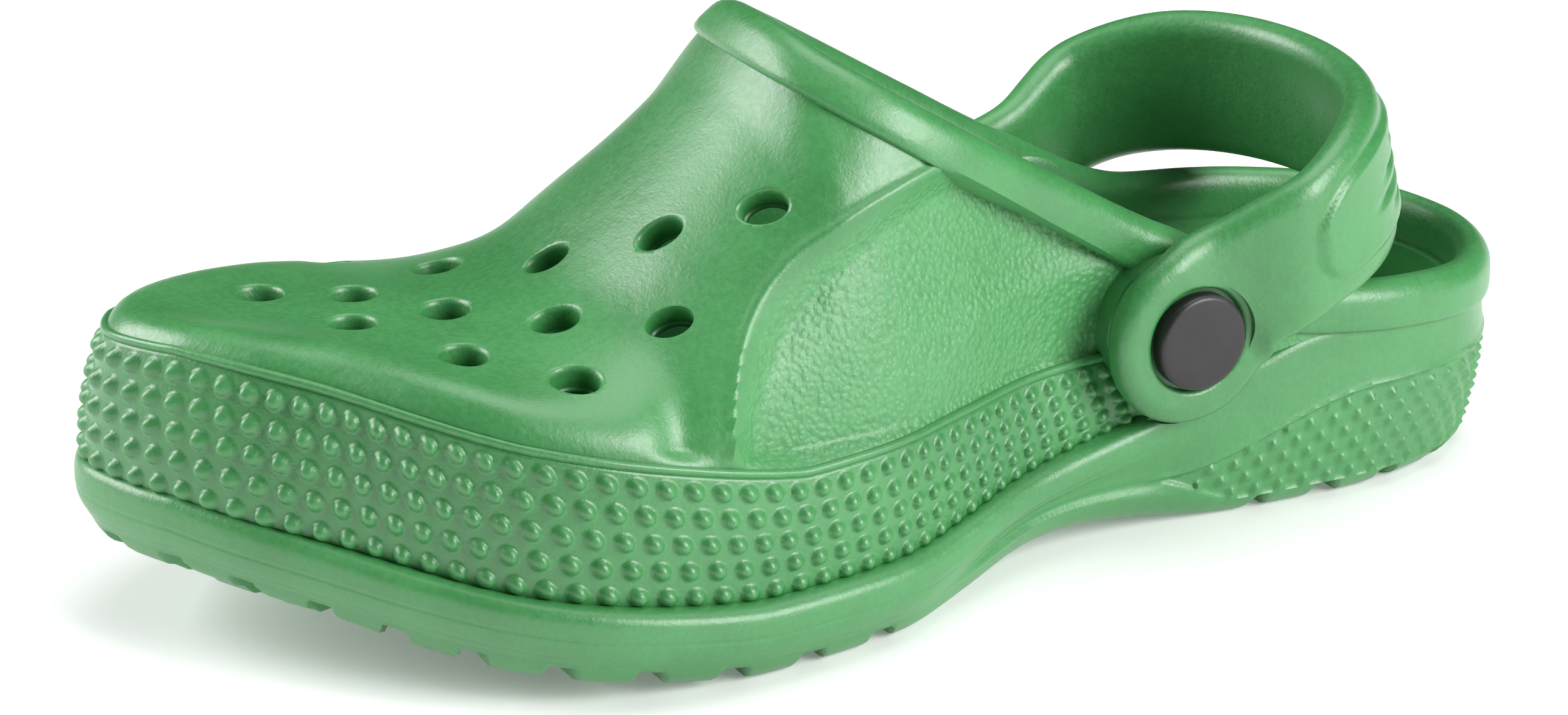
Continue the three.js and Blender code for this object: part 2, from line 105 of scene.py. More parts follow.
class Plan:
    """The sole's outline from above, and how far it reaches from the middle in any direction."""

    def __init__(self):
        self.toe_y = along(-0.3)
        self.heel_y = along(0.33)
        edge = round_curve(np.array(OUTLINE) * (SHOE_WIDTH, SHOE_LENGTH), 60)
        step = np.linalg.norm(np.roll(edge, -1, 0) - edge, axis=1)
        self.s = np.concatenate([[0], np.cumsum(step)])
        self.edge = np.vstack([edge, edge[:1]])
        self.length = self.s[-1]
        toe, heel = edge[:, 1].argmin(), edge[:, 1].argmax()
        ring = np.roll(edge, -heel, 0)
        cut = (toe - heel) % len(edge)
        left, right = ring[: cut + 1], np.vstack([ring[cut:], ring[:1]])
        left = left[np.argsort(left[:, 1])]
        right = right[np.argsort(right[:, 1])]
        self.left, self.right = left, right
        self.fans = [self._fan(edge, y, k) for k, y in enumerate((self.toe_y, self.heel_y))]

    def side(self, y, sign):
        """Where the outline lies at y, on the outer side for 1 and the inner side for -1."""
        rows = self.right if sign > 0 else self.left
        return np.interp(y, rows[:, 1], rows[:, 0])

    def middle(self, y):
        """Halfway between the two sides at y."""
        return (self.side(y, 1) + self.side(y, -1)) / 2

    def _fan(self, edge, y, upper):
        """The outline's distance by angle, round the middle of one end."""
        q = edge - (self.middle(y), y)
        q = q[q[:, 1] > -1] if upper else q[q[:, 1] < 1]
        a = np.arctan2(q[:, 1], q[:, 0])
        a = np.where(a < -np.pi / 2, a + 2 * np.pi, a) if upper else np.where(a > np.pi / 2, a - 2 * np.pi, a)
        k = np.argsort(a)
        return a[k], np.hypot(q[k, 0], q[k, 1])

    def at(self, s):
        """Outline point, unit direction from the middle, and distance from the middle, at arc length s."""
        s = np.mod(s, self.length)
        x, y = (np.interp(s, self.s, self.edge[:, i]) for i in (0, 1))
        cy = np.clip(y, self.toe_y, self.heel_y)
        cx = self.middle(cy)
        r = np.hypot(x - cx, y - cy)
        return x, y, (x - cx) / r, (y - cy) / r, r

    def polar(self, x, y):
        """Centre, unit direction, distance from it and the outline's distance for any plan point."""
        cy = np.clip(y, self.toe_y, self.heel_y)
        cx = self.middle(cy)
        d = np.maximum(np.hypot(x - cx, y - cy), 1e-6)
        dx, dy = (x - cx) / d, (y - cy) / d
        a = np.arctan2(dy, dx)
        r = np.where(dx > 0, self.side(cy, 1) - cx, cx - self.side(cy, -1))
        toe, heel = self.fans
        r = np.where(y < self.toe_y, np.interp(np.where(a > np.pi / 2, a - 2 * np.pi, a), *toe), r)
        r = np.where(y > self.heel_y, np.interp(np.where(a < -np.pi / 2, a + 2 * np.pi, a), *heel), r)
        return cx, cy, dx, dy, d, r


plan = Plan()


def sole_bottom(y):
    """Underside: a toe that springs up as a power of 1.3, and a waist raised 4 mm by a cosine wave."""
    toe = np.clip((along(-0.152) - y) / along(0.319), 0, 1)
    waist = np.clip(np.abs(y - along(0.105)) / along(0.149), 0, 1)
    return 15.3 * toe**1.3 + 4 * (1 + np.cos(np.pi * waist)) / 2


def band_top(y, x):
    """Top of the band: level, lower at the heel, and rising to the toe as a power of 1.15."""
    toe = np.clip((along(-0.114) - y) / along(0.365), 0, 1) ** 1.15
    return 34 - 10 * ease(along(0.16), along(0.3), y) + (20.5 + 0.085 * x) * toe


def wall_inset(y):
    """How far the wall stands inside the outline: the band's depth in front, almost none at the heel."""
    return mix(BAND_INSET, 1.2, ease(along(0.127), along(0.297), y))


# Height of the skin along the middle: share of the length, millimetres.
SPINE = ((-0.452, 54), (-0.322, 54), (-0.259, 54.5), (-0.214, 58), (-0.177, 65.5), (-0.097, 85.5),
         (-0.063, 97.5), (0.006, 106.5), (0.085, 109.5))


def spine(y):
    """Smooth cubic spans through the SPINE points, each slope from the points on either side."""
    p = np.array(SPINE) * (SHOE_LENGTH, 1)
    m = np.zeros(len(p))
    m[1:-1] = (p[2:, 1] - p[:-2, 1]) / (p[2:, 0] - p[:-2, 0])
    y = np.clip(y, p[0, 0], p[-1, 0] - 1e-6)
    k = np.clip(np.searchsorted(p[:, 0], y, side="right") - 1, 0, len(p) - 2)
    h = p[k + 1, 0] - p[k, 0]
    t = (y - p[k, 0]) / h
    a, b = p[k, 1], p[k + 1, 1]
    return (a * (1 + 2 * t) * (1 - t) ** 2 + b * t * t * (3 - 2 * t)
            + h * m[k] * t * (1 - t) ** 2 - h * m[k + 1] * t * t * (1 - t))


def squareness(y):
    """Power of the skin's cross-section: round in front, boxier behind."""
    return mix(2, 3.4, ease(along(-0.073), along(0.137), y))


def opening(y):
    """Side view of the opening: a slope down from the collar that blends into the heel's level rim."""
    slope = VAMP_HEIGHT - 0.65 * (y - along(-0.063))
    level = HEEL_RIM - 3.5 * ease(along(0.297), along(0.498), y)
    return level + 4 * np.log1p(np.exp((slope - level) / 4))


def footbed_level(y):
    """The footbed follows the underside three quarters of the way."""
    return FOOTBED + 0.75 * sole_bottom(y)


def skin_height(x, y, inside=0.0):
    """Height = low + (spine - low) * (1 - s^p)^(1/p), s = share of the way from the middle to the wall."""
    cx, cy, dx, dy, d, r = plan.polar(x, y)
    ey = cy + r * dy
    s = np.minimum(1, d / (r - wall_inset(ey) - inside))
    low = band_top(ey, cx + r * dx)
    if inside:
        low = np.maximum(low - 3, footbed_level(ey) + 6)
    p = squareness(ey)
    return low + (spine(cy) - inside - low) * np.maximum(1 - s**p, 0) ** (1 / p)


# ---- Sizes that the pieces share, in millimetres ----
ORIGIN = np.array((0.374, 0.74, 0.0))  # the form's own zero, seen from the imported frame's zero
PIVOT_Y = 51.3
PIVOT_Z = 38.0
PAD_PROUD = 3.0
PAD_RADIUS = 13.8
EAR_RADIUS = 15.8
EAR_THICK = 6.4
GAP = 0.35  # running clearance round the rivets
SEAT_BORE = 4.7  # hole for the post through a seat and an ear
STRAP_REACH = 53.6
STRAP_RISE = 21.0
STRAP_WIDTH = 28.4
STRAP_TILT = 0.19
STRAP_FLARE = 4.8
CAP_RADIUS = 8.6
CAP_RECESS = 1.6
SOCKET_RADIUS = 8.5
VENT_RADIUS = 4.25
POST_RADIUS = 4.3
VENT_LEAN = 0.85  # how far the bores turn from upright towards the skin
VENT_SQUASH = 0.33  # share by which vents on steep skin are narrower one way than the other
VENT_LOW_WAY = np.array((-0.80, 0.45, 0.25))  # the narrow way, laid on the skin
VENTS_FOR = (107, 262)  # the width and length that the places below are given for
VENTS = (
    (-22.3, -97), (-1.2, -89.4), (18.2, -78.3), (32.4, -65),
    (-14.8, -83.3), (-0.2, -73), (15.6, -60.5), (31, -47.5),
    (-38.5, -78), (-20.5, -65.3), (-1, -54), (17, -42), (28, -28.5),
)


def wall_face(sign):
    """How far out the seat for the strap's ear lies."""
    return abs(plan.side(PIVOT_Y, sign)) - wall_inset(PIVOT_Y) + PAD_PROUD


def ear_inner(sign):
    """The face of the ear towards the wall."""
    return wall_face(sign) + GAP


def ear_outer(sign):
    """The face of the ear away from the wall."""
    return ear_inner(sign) + EAR_THICK


def inner_seat(sign):
    """How far out the wall's inside face lies, where the socket sits."""
    return wall_face(sign) - PAD_PROUD - WALL - 1.2


def sole_top(y):
    """The top of the sole's side: a level rim round the forefoot that climbs to a tall heel."""
    tall = 33.4 - 1.6 * ease(100, 130, y)
    return mix(sole_bottom(y) + SOLE_RIM, tall, ease(18, 88, y))


# ---- Grids into meshes ----
def quads_of(rows, around, closed_around=True, closed_rows=False):
    """Four-sided faces of a grid whose points run around first and then up the rows."""
    i = np.arange(around if closed_around else around - 1)
    j = np.arange(rows if closed_rows else rows - 1)
    i, j = np.meshgrid(i, j)
    a, b = j * around + i, j * around + (i + 1) % around
    up = ((j + 1) % rows) * around
    return np.stack([a, b, up + (i + 1) % around, up + i], -1).reshape(-1, 4)


def zip_cap(start, around, upward):
    """Closes a long loop by joining each point of one side to its partner on the other side."""
    k = np.arange(1, around // 2 - 1)
    quads = np.stack([k, k + 1, around - k - 1, around - k], -1) + start
    h = around // 2
    tris = np.array([(0, 1, around - 1), (h - 1, h, h + 1)]) + start
    if not upward:
        quads, tris = quads[:, ::-1], tris[:, ::-1]
    return quads, tris


def fan_cap(loop, centre, flip=False):
    """Triangles from a loop of point numbers to one centre point."""
    nxt = np.roll(loop, -1)
    tris = np.stack([loop, nxt, np.full(len(loop), centre)], -1)
    return tris[:, ::-1] if flip else tris


def make_object(name, points, quads, tris=(), angle=35.0, marks=None):
    """A mesh object in metres from points in millimetres; marks are named numbers per point."""
    points = (np.asarray(points, float).reshape(-1, 3) - ORIGIN) * 0.001
    quads = np.asarray(quads, np.int64).reshape(-1, 4)
    tris = np.asarray(tris, np.int64).reshape(-1, 3)
    mesh = bpy.data.meshes.new(name)
    mesh.vertices.add(len(points))
    mesh.vertices.foreach_set("co", points.ravel())
    corners = np.concatenate([quads.ravel(), tris.ravel()])
    sizes = np.concatenate([np.full(len(quads), 4), np.full(len(tris), 3)])
    mesh.loops.add(len(corners))
    mesh.loops.foreach_set("vertex_index", corners)
    mesh.polygons.add(len(sizes))
    mesh.polygons.foreach_set("loop_start", np.concatenate([[0], np.cumsum(sizes)[:-1]]))
    mesh.update(calc_edges=True)
    for key, values in (marks or {}).items():
        layer = mesh.attributes.new(key, "FLOAT", "POINT")
        layer.data.foreach_set("value", np.asarray(values, np.float32).ravel())
    if mesh.validate():
        raise RuntimeError(f"{name} has bad faces")
    mesh.polygons.foreach_set("use_smooth", np.ones(len(sizes), bool))
    thing = bpy.data.objects.new(name, mesh)
    bpy.context.scene.collection.objects.link(thing)
    soften(thing, angle)
    return thing


def soften(thing, angle):
    """Smooth shading, apart from edges sharper than the angle."""
    with bpy.context.temp_override(active_object=thing, object=thing, selected_editable_objects=[thing]):
        bpy.ops.object.shade_smooth_by_angle(angle=math.radians(angle))


def cut(thing, cutters, angle=35.0):
    """Takes the cutters' volume out of the piece and removes the cutters."""
    for cutter in cutters:
        step = thing.modifiers.new("cut", "BOOLEAN")
        step.operation = "DIFFERENCE"
        step.solver = "MANIFOLD"
        step.object = cutter
    evaluated = thing.evaluated_get(bpy.context.evaluated_depsgraph_get())
    mesh = bpy.data.meshes.new_from_object(evaluated)
    if len(mesh.vertices) == 0:
        raise RuntimeError(f"cutting {thing.name} left nothing")
    thing.modifiers.clear()
    old = thing.data
    thing.data = mesh
    bpy.data.meshes.remove(old)
    mesh.name = thing.name
    for cutter in cutters:
        data = cutter.data
        bpy.data.objects.remove(cutter)
        bpy.data.meshes.remove(data)
    soften(thing, angle)


def lathe(name, profile, centre, axis, around=72, lift=None, angle=35.0):
    """Turned solid: each radius and distance along the axis swept through a full circle.

    The profile starts and ends on the axis. lift may move the points afterwards.
    """
    axis = np.asarray(axis, float) / np.linalg.norm(axis)
    side = np.cross(axis, (0.0, 0.0, 1.0) if abs(axis[2]) < 0.9 else (0.0, 1.0, 0.0))
    side /= np.linalg.norm(side)
    other = np.cross(axis, side)
    r, out = np.array(profile[1:-1], float).T
    turn = np.arange(around) * 2 * np.pi / around
    circle = np.cos(turn)[:, None] * side + np.sin(turn)[:, None] * other
    rows = np.asarray(centre) + r[:, None, None] * circle + out[:, None, None] * axis
    if lift is not None:
        rows = lift(rows)
    ends = [np.asarray(centre) + profile[k][1] * axis for k in (0, -1)]
    points = np.vstack([rows.reshape(-1, 3), *ends])
    n = len(r)
    first, last = np.arange(around), np.arange(around) + (n - 1) * around
    tris = np.vstack([fan_cap(first, n * around, True), fan_cap(last, n * around + 1)])
    return make_object(name, points, quads_of(n, around), tris, angle)


def finish_piece(thing, body, material, replaced=()):
    """Gives a piece its material and body, and hides the frame nodes that it stands for."""
    thing.data.materials.clear()
    thing.data.materials.append(material)
    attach(thing, body)
    if replaced:
        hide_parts(*replaced)


def ear_clearance(name, extra):
    """Stepped round tools: room for each ear outside its seat, and a bore for the post through the wall."""
    tools = []
    for sign in (1, -1):
        face = wall_face(sign)
        ring = EAR_RADIUS + extra
        deep = inner_seat(sign) - 8
        bore = POST_RADIUS + GAP
        profile = [(0, deep), (bore, deep), (bore, face), (ring, face), (ring, face + 30), (0, face + 30)]
        tools.append(lathe(f"{name}_{sign}", profile, (0, PIVOT_Y, PIVOT_Z), (sign, 0, 0), 96))
    return tools


# ---- Sole ----
NOTCH_PITCH, NOTCH_DEPTH = 14.7, 3.1
HEEL_DOT_PITCH, HEEL_DOT_ROWS, HEEL_DOT_RADIUS, HEEL_DOT_HEIGHT = 4.9, 2.75, 1.25, 1.1
FIRST_ROW = 2.0


def notch_depth(s, y):
    """Straight-sided notches at an even pitch round the forefoot and the heel, none at the waist."""
    gap = np.abs(np.mod(s / NOTCH_PITCH, 1) - 0.5) * NOTCH_PITCH
    present = 1 - ease(-12, -8, y) * (1 - ease(66, 69, y))
    return NOTCH_DEPTH * np.clip((3.2 - gap) / 0.9, 0, 1) * present


def lens_edges(y):
    """Lower and upper edge of the dotted panel at the heel, which narrows to a point at the waist."""
    return 9.6 - 6.4 * ease(46, 66, y), 9.9 + 11.2 * ease(46, 92, y)


def heel_relief(s, y, z):
    """How far the heel's side stands out: a shallow hollow with rows of small pointed dots."""
    low, high = lens_edges(y)
    inside = ease(0, 0.9, z - low) * ease(0, 0.7, high - z) * ease(45, 49, y)
    row = np.round((z - FIRST_ROW) / HEEL_DOT_ROWS)
    dz = z - FIRST_ROW - row * HEEL_DOT_ROWS
    phase = s / HEEL_DOT_PITCH + 0.5 * np.mod(row, 2)
    ds = (phase - np.round(phase)) * HEEL_DOT_PITCH
    room = (z - dz - low > 0.9) & (high - (z - dz) > 1.0)
    dots = HEEL_DOT_HEIGHT * np.clip(1 - np.hypot(ds, dz) / HEEL_DOT_RADIUS, 0, 1) ** 0.85
    lip = 0.35 * np.exp(-(((z - high - 0.4) / 0.5) ** 2)) * ease(45, 49, y)
    return -0.75 * inside + dots * inside * room + lip


def build_sole(material):
    """Rows of points round the outline: point = outline - inset * direction, height = row's own height.

    The side's heights run from the underside to the sole's top; the bead's rows keep their size.
    """
    around = 1280
    s = np.arange(around) * plan.length / around
    x, y, dx, dy, _ = plan.at(s)
    base, top = sole_bottom(y), sole_top(y)
    foot = np.minimum(wall_inset(y) * mix(0.3, 0.66, ease(along(-0.46), along(-0.35), y)), 4.2)
    notch = notch_depth(s, y)
    rows, lifts = [], []

    def add(inset, height, groove=0.0):
        rows.append(np.stack([x - inset * dx, y - inset * dy, height], -1))
        lifts.append(groove)

    for inset in (27, 22, 19.5, 18.8):
        yy = y - inset * dy
        bars = 1.4 * np.clip((2.2 - np.abs(np.mod(yy / 11, 1) - 0.5) * 11) / 0.7, 0, 1)
        add(inset, sole_bottom(yy) + bars * (inset > 19))
    for inset in (18, 17.2):
        add(inset, sole_bottom(y - inset * dy) + 2.2)
    for inset in (16.4, 12, 8.5):
        add(inset, sole_bottom(y - inset * dy) + notch * (inset < 16))
    heel_in = ease(78, 118, y)
    low = ((6.4 + 2 * heel_in, 0.0), (4.9 + 1.6 * heel_in, 0.5), (3.9 + 1.3 * heel_in, 1.3),
           (3.1 + 1.1 * heel_in, 2.3), (2.5 + 0.9 * heel_in, 3.4))
    for inset, height in low:
        add(inset, base + np.maximum(height, notch))
    waist = ease(-8, 12, y) * (1 - ease(44, 60, y))
    steps = 44
    for k in range(steps):
        t = k / (steps - 1)
        height = mix(base + 4.2, top - 3.6, t)
        bulge = (2.2 + 0.8 * heel_in) * (1 - np.clip(t / 0.85, 0, 1)) ** 2
        lean = 0.9 * ease(0.5, 1, t) * ease(50, 90, y)
        hollow = 1.6 * waist * ease(0.05, 0.3, t) * (1 - ease(0.45, 0.95, t))
        seam = 0.16 * np.exp(-(((height - top + 5.4) / 0.35) ** 2)) * (1 - ease(40, 60, y))
        seam = seam + 0.1 * np.exp(-(((height - base - 5.6) / 0.3) ** 2)) * (1 - ease(-20, 0, y))
        add(bulge + lean + hollow + seam - heel_relief(s, y, height), height)
    lean = 0.9 * ease(50, 90, y)
    for share, drop in ((0.0, 2.9), (0.02, 2.2), (0.07, 1.5), (0.17, 0.9), (0.32, 0.4), (0.5, 0.1),
                        (0.68, 0.0), (0.84, 0.15), (0.95, 0.6), (1.0, 1.3)):
        add(lean + share * (foot + 0.7), top - drop)
    add(lean + foot + 1.5, top - 1.8)
    add(lean + foot + 1.7, base + 12.4)
    add(12.0, base + 12.4)
    add(26.0, base + 12.4)
    n = len(rows)
    under, u_tris = zip_cap(0, around, False)
    over, o_tris = zip_cap((n - 1) * around, around, True)
    quads = np.vstack([quads_of(n, around), under, over])
    sole = make_object("sole", np.stack(rows), quads, np.vstack([u_tris, o_tris]), 50)
    cut(sole, ear_clearance("sole_tool", 1.2), 50)
    finish_piece(sole, "shoe", material, ("clog_body",))
    return sole


# ---- Dotted band ----
BAND_ROWS = 5
BAND_END = 62.0  # how far back the band runs, hidden behind the ears


def build_band(material):
    """Closed profile carried round the forefoot: face with five rows of domed dots, ridge, hidden back.

    Dot height = 0.86 * radius * (1 - (distance / radius) squared) to the power 0.75.
    """
    fine = np.linspace(0, plan.length, 4001)
    fy = plan.at(fine)[1]
    front = fine[fy < BAND_END]
    s = np.linspace(front[0], front[-1], 1000)
    x, y, dx, dy, _ = plan.at(s)
    toe = fine[fy.argmin()]
    away = np.abs(s - toe)
    pitch = mix(5.15, 4.15, ease(70, 215, away))
    phase = np.cumsum(1 / pitch) * (s[1] - s[0])
    wall = wall_inset(y)
    foot = wall * mix(0.3, 0.66, ease(along(-0.46), along(-0.35), y))
    low, high = sole_top(y) - 0.2, band_top(y, x)
    height = np.maximum(high - low, 2.0)
    radius = mix(1.72, 1.28, ease(80, 215, away))
    rows = []

    def add(inset, z):
        rows.append(np.stack([x - inset * dx, y - inset * dy, z + 0 * x], -1))

    add(foot + 1.2, low - 3.0)
    add(foot + 0.5, low - 1.6)
    steps = 64
    for k in range(steps):
        t = k / (steps - 1)
        row = np.clip(np.round(t * BAND_ROWS - 0.5), 0, BAND_ROWS - 1)
        dv = (t - (row + 0.5) / BAND_ROWS) * height
        turn = phase + 0.22 * row
        du = (turn - np.round(turn)) * pitch
        dome = np.clip(1 - (du**2 + dv**2) / radius**2, 0, 1) ** 0.75 * radius * 0.86
        swell = 0.7 * np.sin(np.pi * t)
        add(mix(foot, wall * 0.9, t**1.3) - swell - dome, mix(low - 0.7, high - 1.3, t))
    ridge = ((0.93, -1.1), (0.84, -0.75), (0.78, -0.3), (0.79, 0.1), (0.86, 0.42),
             (0.97, 0.55), (1.09, 0.42), (1.19, 0.05), (1.25, -0.5))
    for inset, z in ridge:
        add(wall * 0.95 + (inset - 0.95) * 4.2, high + z)
    add(wall + 2.2, high - 1.6)
    add(wall + 2.4, low)
    n, around = len(rows), len(s)
    points = np.stack(rows)
    quads = quads_of(n, around, closed_around=False, closed_rows=True)
    ends = [points[:, k].mean(0) for k in (0, -1)]
    column = np.arange(n) * around
    tris = np.vstack([fan_cap(column, n * around, False), fan_cap(column + around - 1, n * around + 1, True)])
    band = make_object("dotted_band", np.vstack([points.reshape(-1, 3), *ends]), quads, tris, 60)
    cut(band, ear_clearance("band_tool", 1.2), 60)
    finish_piece(band, "shoe", material)
    return band


# ---- Upper ----
FAN_Y = 0.0  # where the rays that meet the collar's front fan out from
ROLL_HIGH = 8.8
ROLL_RADIUS = 3.9
SKIN_ROWS = 108
TOE_FULLNESS, TOE_REACH = 2.8, 5.5
PANEL_LENGTH, PANEL_HEIGHT, PANEL_POWER = 64.0, 42.0, 2.2


def rim_points(centre, way, drop, inside=0.0):
    """Where the skin meets the opening's side view, less a drop, along each ray from inside the opening."""
    near, far = np.zeros(len(centre)), np.full(len(centre), 120.0)
    for _ in range(34):
        r = (near + far) / 2
        px, py = (centre + r[:, None] * way).T
        _, _, _, _, d, reach = plan.polar(px, py)
        within = (d < reach - 0.4) & (skin_height(px, py, inside) > opening(py) - drop)
        near, far = np.where(within, r, near), np.where(within, far, r)
    return centre + near[:, None] * way


def rim_rays(s, y, dx, dy):
    """Rays to the rim: square to the shoe behind the collar's front, and a fan from one point before it."""
    fine = np.linspace(0, plan.length, 6001)[:-1]
    fy = plan.at(fine)[1]
    toe = fine[fy.argmin()]
    inner, outer = fine[np.nonzero(np.diff(fy > FAN_Y))[0]][[0, -1]]
    angle = np.interp(s, (inner, toe, outer), np.array((1.0, 1.5, 2.0)) * np.pi)
    front = (y < FAN_Y)[:, None]
    cy = np.where(y < FAN_Y, FAN_Y, np.minimum(y, plan.heel_y))
    way = np.where(front, np.stack([np.cos(angle), np.sin(angle)], -1), np.stack([dx, dy], -1))
    return np.stack([plan.middle(cy), cy], -1), way


def skin_normal(x, y):
    """Upward normal of the skin from its own slope, 0.4 mm either way."""
    h = 0.4
    zx = (skin_height(x + h, y) - skin_height(x - h, y)) / (2 * h)
    zy = (skin_height(x, y + h) - skin_height(x, y - h)) / (2 * h)
    n = np.stack([-zx, -zy, np.ones_like(zx)], -1)
    return n / np.linalg.norm(n, axis=-1, keepdims=True)


def toe_fullness(x, y):
    """Extra height of the toe's shoulder: 2.8 t e^(1-t) mm with t = (distance inside the wall) / 5.5.

    It fades out behind the toe.
    """
    _, cy, _, dy, d, r = plan.polar(x, y)
    t = np.maximum(r - wall_inset(cy + r * dy) - d, 0) / TOE_REACH
    return TOE_FULLNESS * t * np.exp(1 - t) * (1 - ease(-92, -48, y))


def outer_skin(x, y):
    """Height of the outer skin, with the toe's fullness."""
    return skin_height(x, y) + toe_fullness(x, y)


def unit(v):
    """Each vector divided by its own length."""
    return v / np.maximum(np.linalg.norm(v, axis=-1, keepdims=True), 1e-9)


def spread_evenly(line, shares, cut_off=0.0):
    """Points at shares of each column's own length, for a block of lines that run along the first axis."""
    step = np.linalg.norm(np.diff(line, axis=0), axis=-1)
    gone = np.concatenate([np.zeros((1, line.shape[1])), np.cumsum(step, 0)])
    want = shares[:, None] * (gone[-1] - cut_off)[None]
    k = np.clip((gone[None, 1:-1] <= want[:, None]).sum(1), 0, len(line) - 2)
    a = np.take_along_axis(gone, k, 0)
    b = np.take_along_axis(gone, k + 1, 0)
    t = ((want - a) / np.maximum(b - a, 1e-9))[..., None]
    p = np.take_along_axis(line, k[..., None], 0)
    q = np.take_along_axis(line, (k + 1)[..., None], 0)
    return p + (q - p) * t


def panel_distance(y, z):
    """Distance behind the side panel's curved border, in the side view: inside a rounded quarter."""
    back, up = np.minimum(y - 20, 0), np.maximum(z - 36, 0)
    shape = (np.abs(back) / PANEL_LENGTH) ** PANEL_POWER + (up / PANEL_HEIGHT) ** PANEL_POWER
    shape = shape ** (1 / PANEL_POWER)
    size = np.maximum(np.hypot(back, up), 20)
    return size * (1 / np.maximum(shape, 0.2) - 1)


def side_relief(p):
    """How far the side panels stand out: a fine raised border, a scoop behind it, a valley before it."""
    y, z = p[..., 1], p[..., 2]
    d = np.clip(panel_distance(y, z), -60, 60)
    cx = plan.middle(np.clip(y, plan.toe_y, plan.heel_y))
    beside = ease(9, 15, np.abs(p[..., 0] - cx))
    scoop = -3.7 * ease(0.1, 7.0, d) * (1 - 0.8 * ease(8, 46, d))
    ridge = 0.8 * np.exp(-(((d + 0.2) / 1.0) ** 2))
    valley = -1.9 * np.exp(-(((d + 8.5) / 4.5) ** 2)) * (1 - ease(46, 66, z))
    fade = 1 - ease(38, 62, y)
    return (scoop * fade + ridge * (1 - ease(8, 20, y)) + valley) * beside


def grid_normals(p):
    """Normals of a block of points from its own differences, around and along."""
    around = np.roll(p, -1, 1) - np.roll(p, 1, 1)
    return unit(np.cross(around, np.gradient(p, axis=0)))


def build_upper(material):
    """One closed skin: from the band over the vamp, round the rolled rim and down inside to the footbed.

    Each outer line runs straight in plan from the wall to the rim; its height is the outer skin's there.
    """
    around = 560
    s = np.arange(around) * plan.length / around
    x, y, dx, dy, _ = plan.at(s)
    wall = wall_inset(y)
    centre, way = rim_rays(s, y, dx, dy)
    rx, ry = rim_points(centre, way, ROLL_HIGH / 2).T
    rim = np.stack([rx, ry, skin_height(rx, ry)], -1)
    tangent = np.roll(rim, -1, 0) - np.roll(rim, 1, 0)
    out = skin_normal(rx, ry)
    for _ in range(6):
        out = unit(out + np.roll(out, 1, 0) + np.roll(out, -1, 0))
    up = unit(np.cross(out, unit(tangent)))
    out = unit(np.cross(unit(tangent), up))

    start = np.stack([x - wall * dx, y - wall * dy], -1)
    t = np.linspace(0, 1, 220)[:, None, None] ** 3.2
    flat = start + (rim[:, :2] - start) * t
    height = outer_skin(flat[..., 0], flat[..., 1])
    line = np.concatenate([flat, height[..., None]], -1)
    line[0, :, 2] = band_top(y, x)
    line[-1] = rim
    skin = spread_evenly(line, np.linspace(0, 1, SKIN_ROWS), ROLL_HIGH / 2 - 0.1)
    normal = grid_normals(skin)
    near_edge = ease(0, 0.05, np.linspace(0, 1, SKIN_ROWS))[:, None]
    relief = side_relief(skin) * near_edge
    # Mask of the side panels: their leather grain, their painted sheen and the painted shade in the grain's
    # creases.
    grain = ease(1.0, 4.0, np.clip(panel_distance(skin[..., 1], skin[..., 2]), -60, 60))
    grain = grain * ease(9, 15, np.abs(skin[..., 0] - plan.middle(skin[..., 1])))
    skin = skin + normal * relief[..., None]
    foot = [np.stack([x - (wall + 1.3) * dx, y - (wall + 1.3) * dy, band_top(y, x) - 4.0], -1),
            np.stack([x - (wall + 0.5) * dx, y - (wall + 0.5) * dy, band_top(y, x) - 1.4], -1)]

    low_edge = relief[-1][:, None]
    roll = []
    bar = [(-0.1, -4.45), (0.55, -4.45), (1.05, -4.2), (1.4, -3.6), (1.58, -2.5), (1.62, -1.0)]
    r = ROLL_RADIUS
    bar += [(-2.3 + r * math.cos(a), 0.5 + r * math.sin(a)) for a in np.radians(np.arange(0, 91, 15))]
    bar += [(-3.2 - r * math.sin(a), 0.5 + r * math.cos(a)) for a in np.radians(np.arange(5, 91, 17))]
    bar += [(-7.05, -1.6), (-6.9, -3.2), (-6.45, -4.1)]
    slim = 1 - 0.3 * ease(60, 95, ry)[:, None]
    for k, (a, b) in enumerate(bar):
        a = a * slim if a < 0 else a
        follow = low_edge * (1 - ease(0, 3, k))
        roll.append(rim + out * (a + follow) + up * b)

    inner_wall = wall + WALL
    ix, iy = rim_points(centre, way, ROLL_HIGH, WALL).T
    floor = footbed_level(y)
    begin = np.stack([x - inner_wall * dx, y - inner_wall * dy], -1)
    flat = begin + (np.stack([ix, iy], -1) - begin) * np.linspace(0, 1, 160)[:, None, None] ** 3.2
    line = np.concatenate([flat, skin_height(flat[..., 0], flat[..., 1], WALL)[..., None]], -1)
    line[0, :, 2] = np.maximum(band_top(y, x) - 3, floor + 6)
    line = spread_evenly(line, np.linspace(0, 1, 30))[::-1]
    end = [np.stack([x - inner_wall * dx, y - inner_wall * dy, floor + h], -1) for h in (3.0, -1.5)]

    rows = np.concatenate([np.stack(foot), skin, np.stack(roll), line, np.stack(end)])
    marks = np.zeros(rows.shape[:2])
    marks[len(foot) : len(foot) + SKIN_ROWS] = grain
    faces = quads_of(len(rows), around, closed_rows=True)
    upper = make_object("upper", rows, faces, (), 40, {"panel": marks})
    cut(upper, vent_tools() + ear_clearance("upper_tool", 1.0), 40)
    finish_piece(upper, "shoe", material)
    return upper


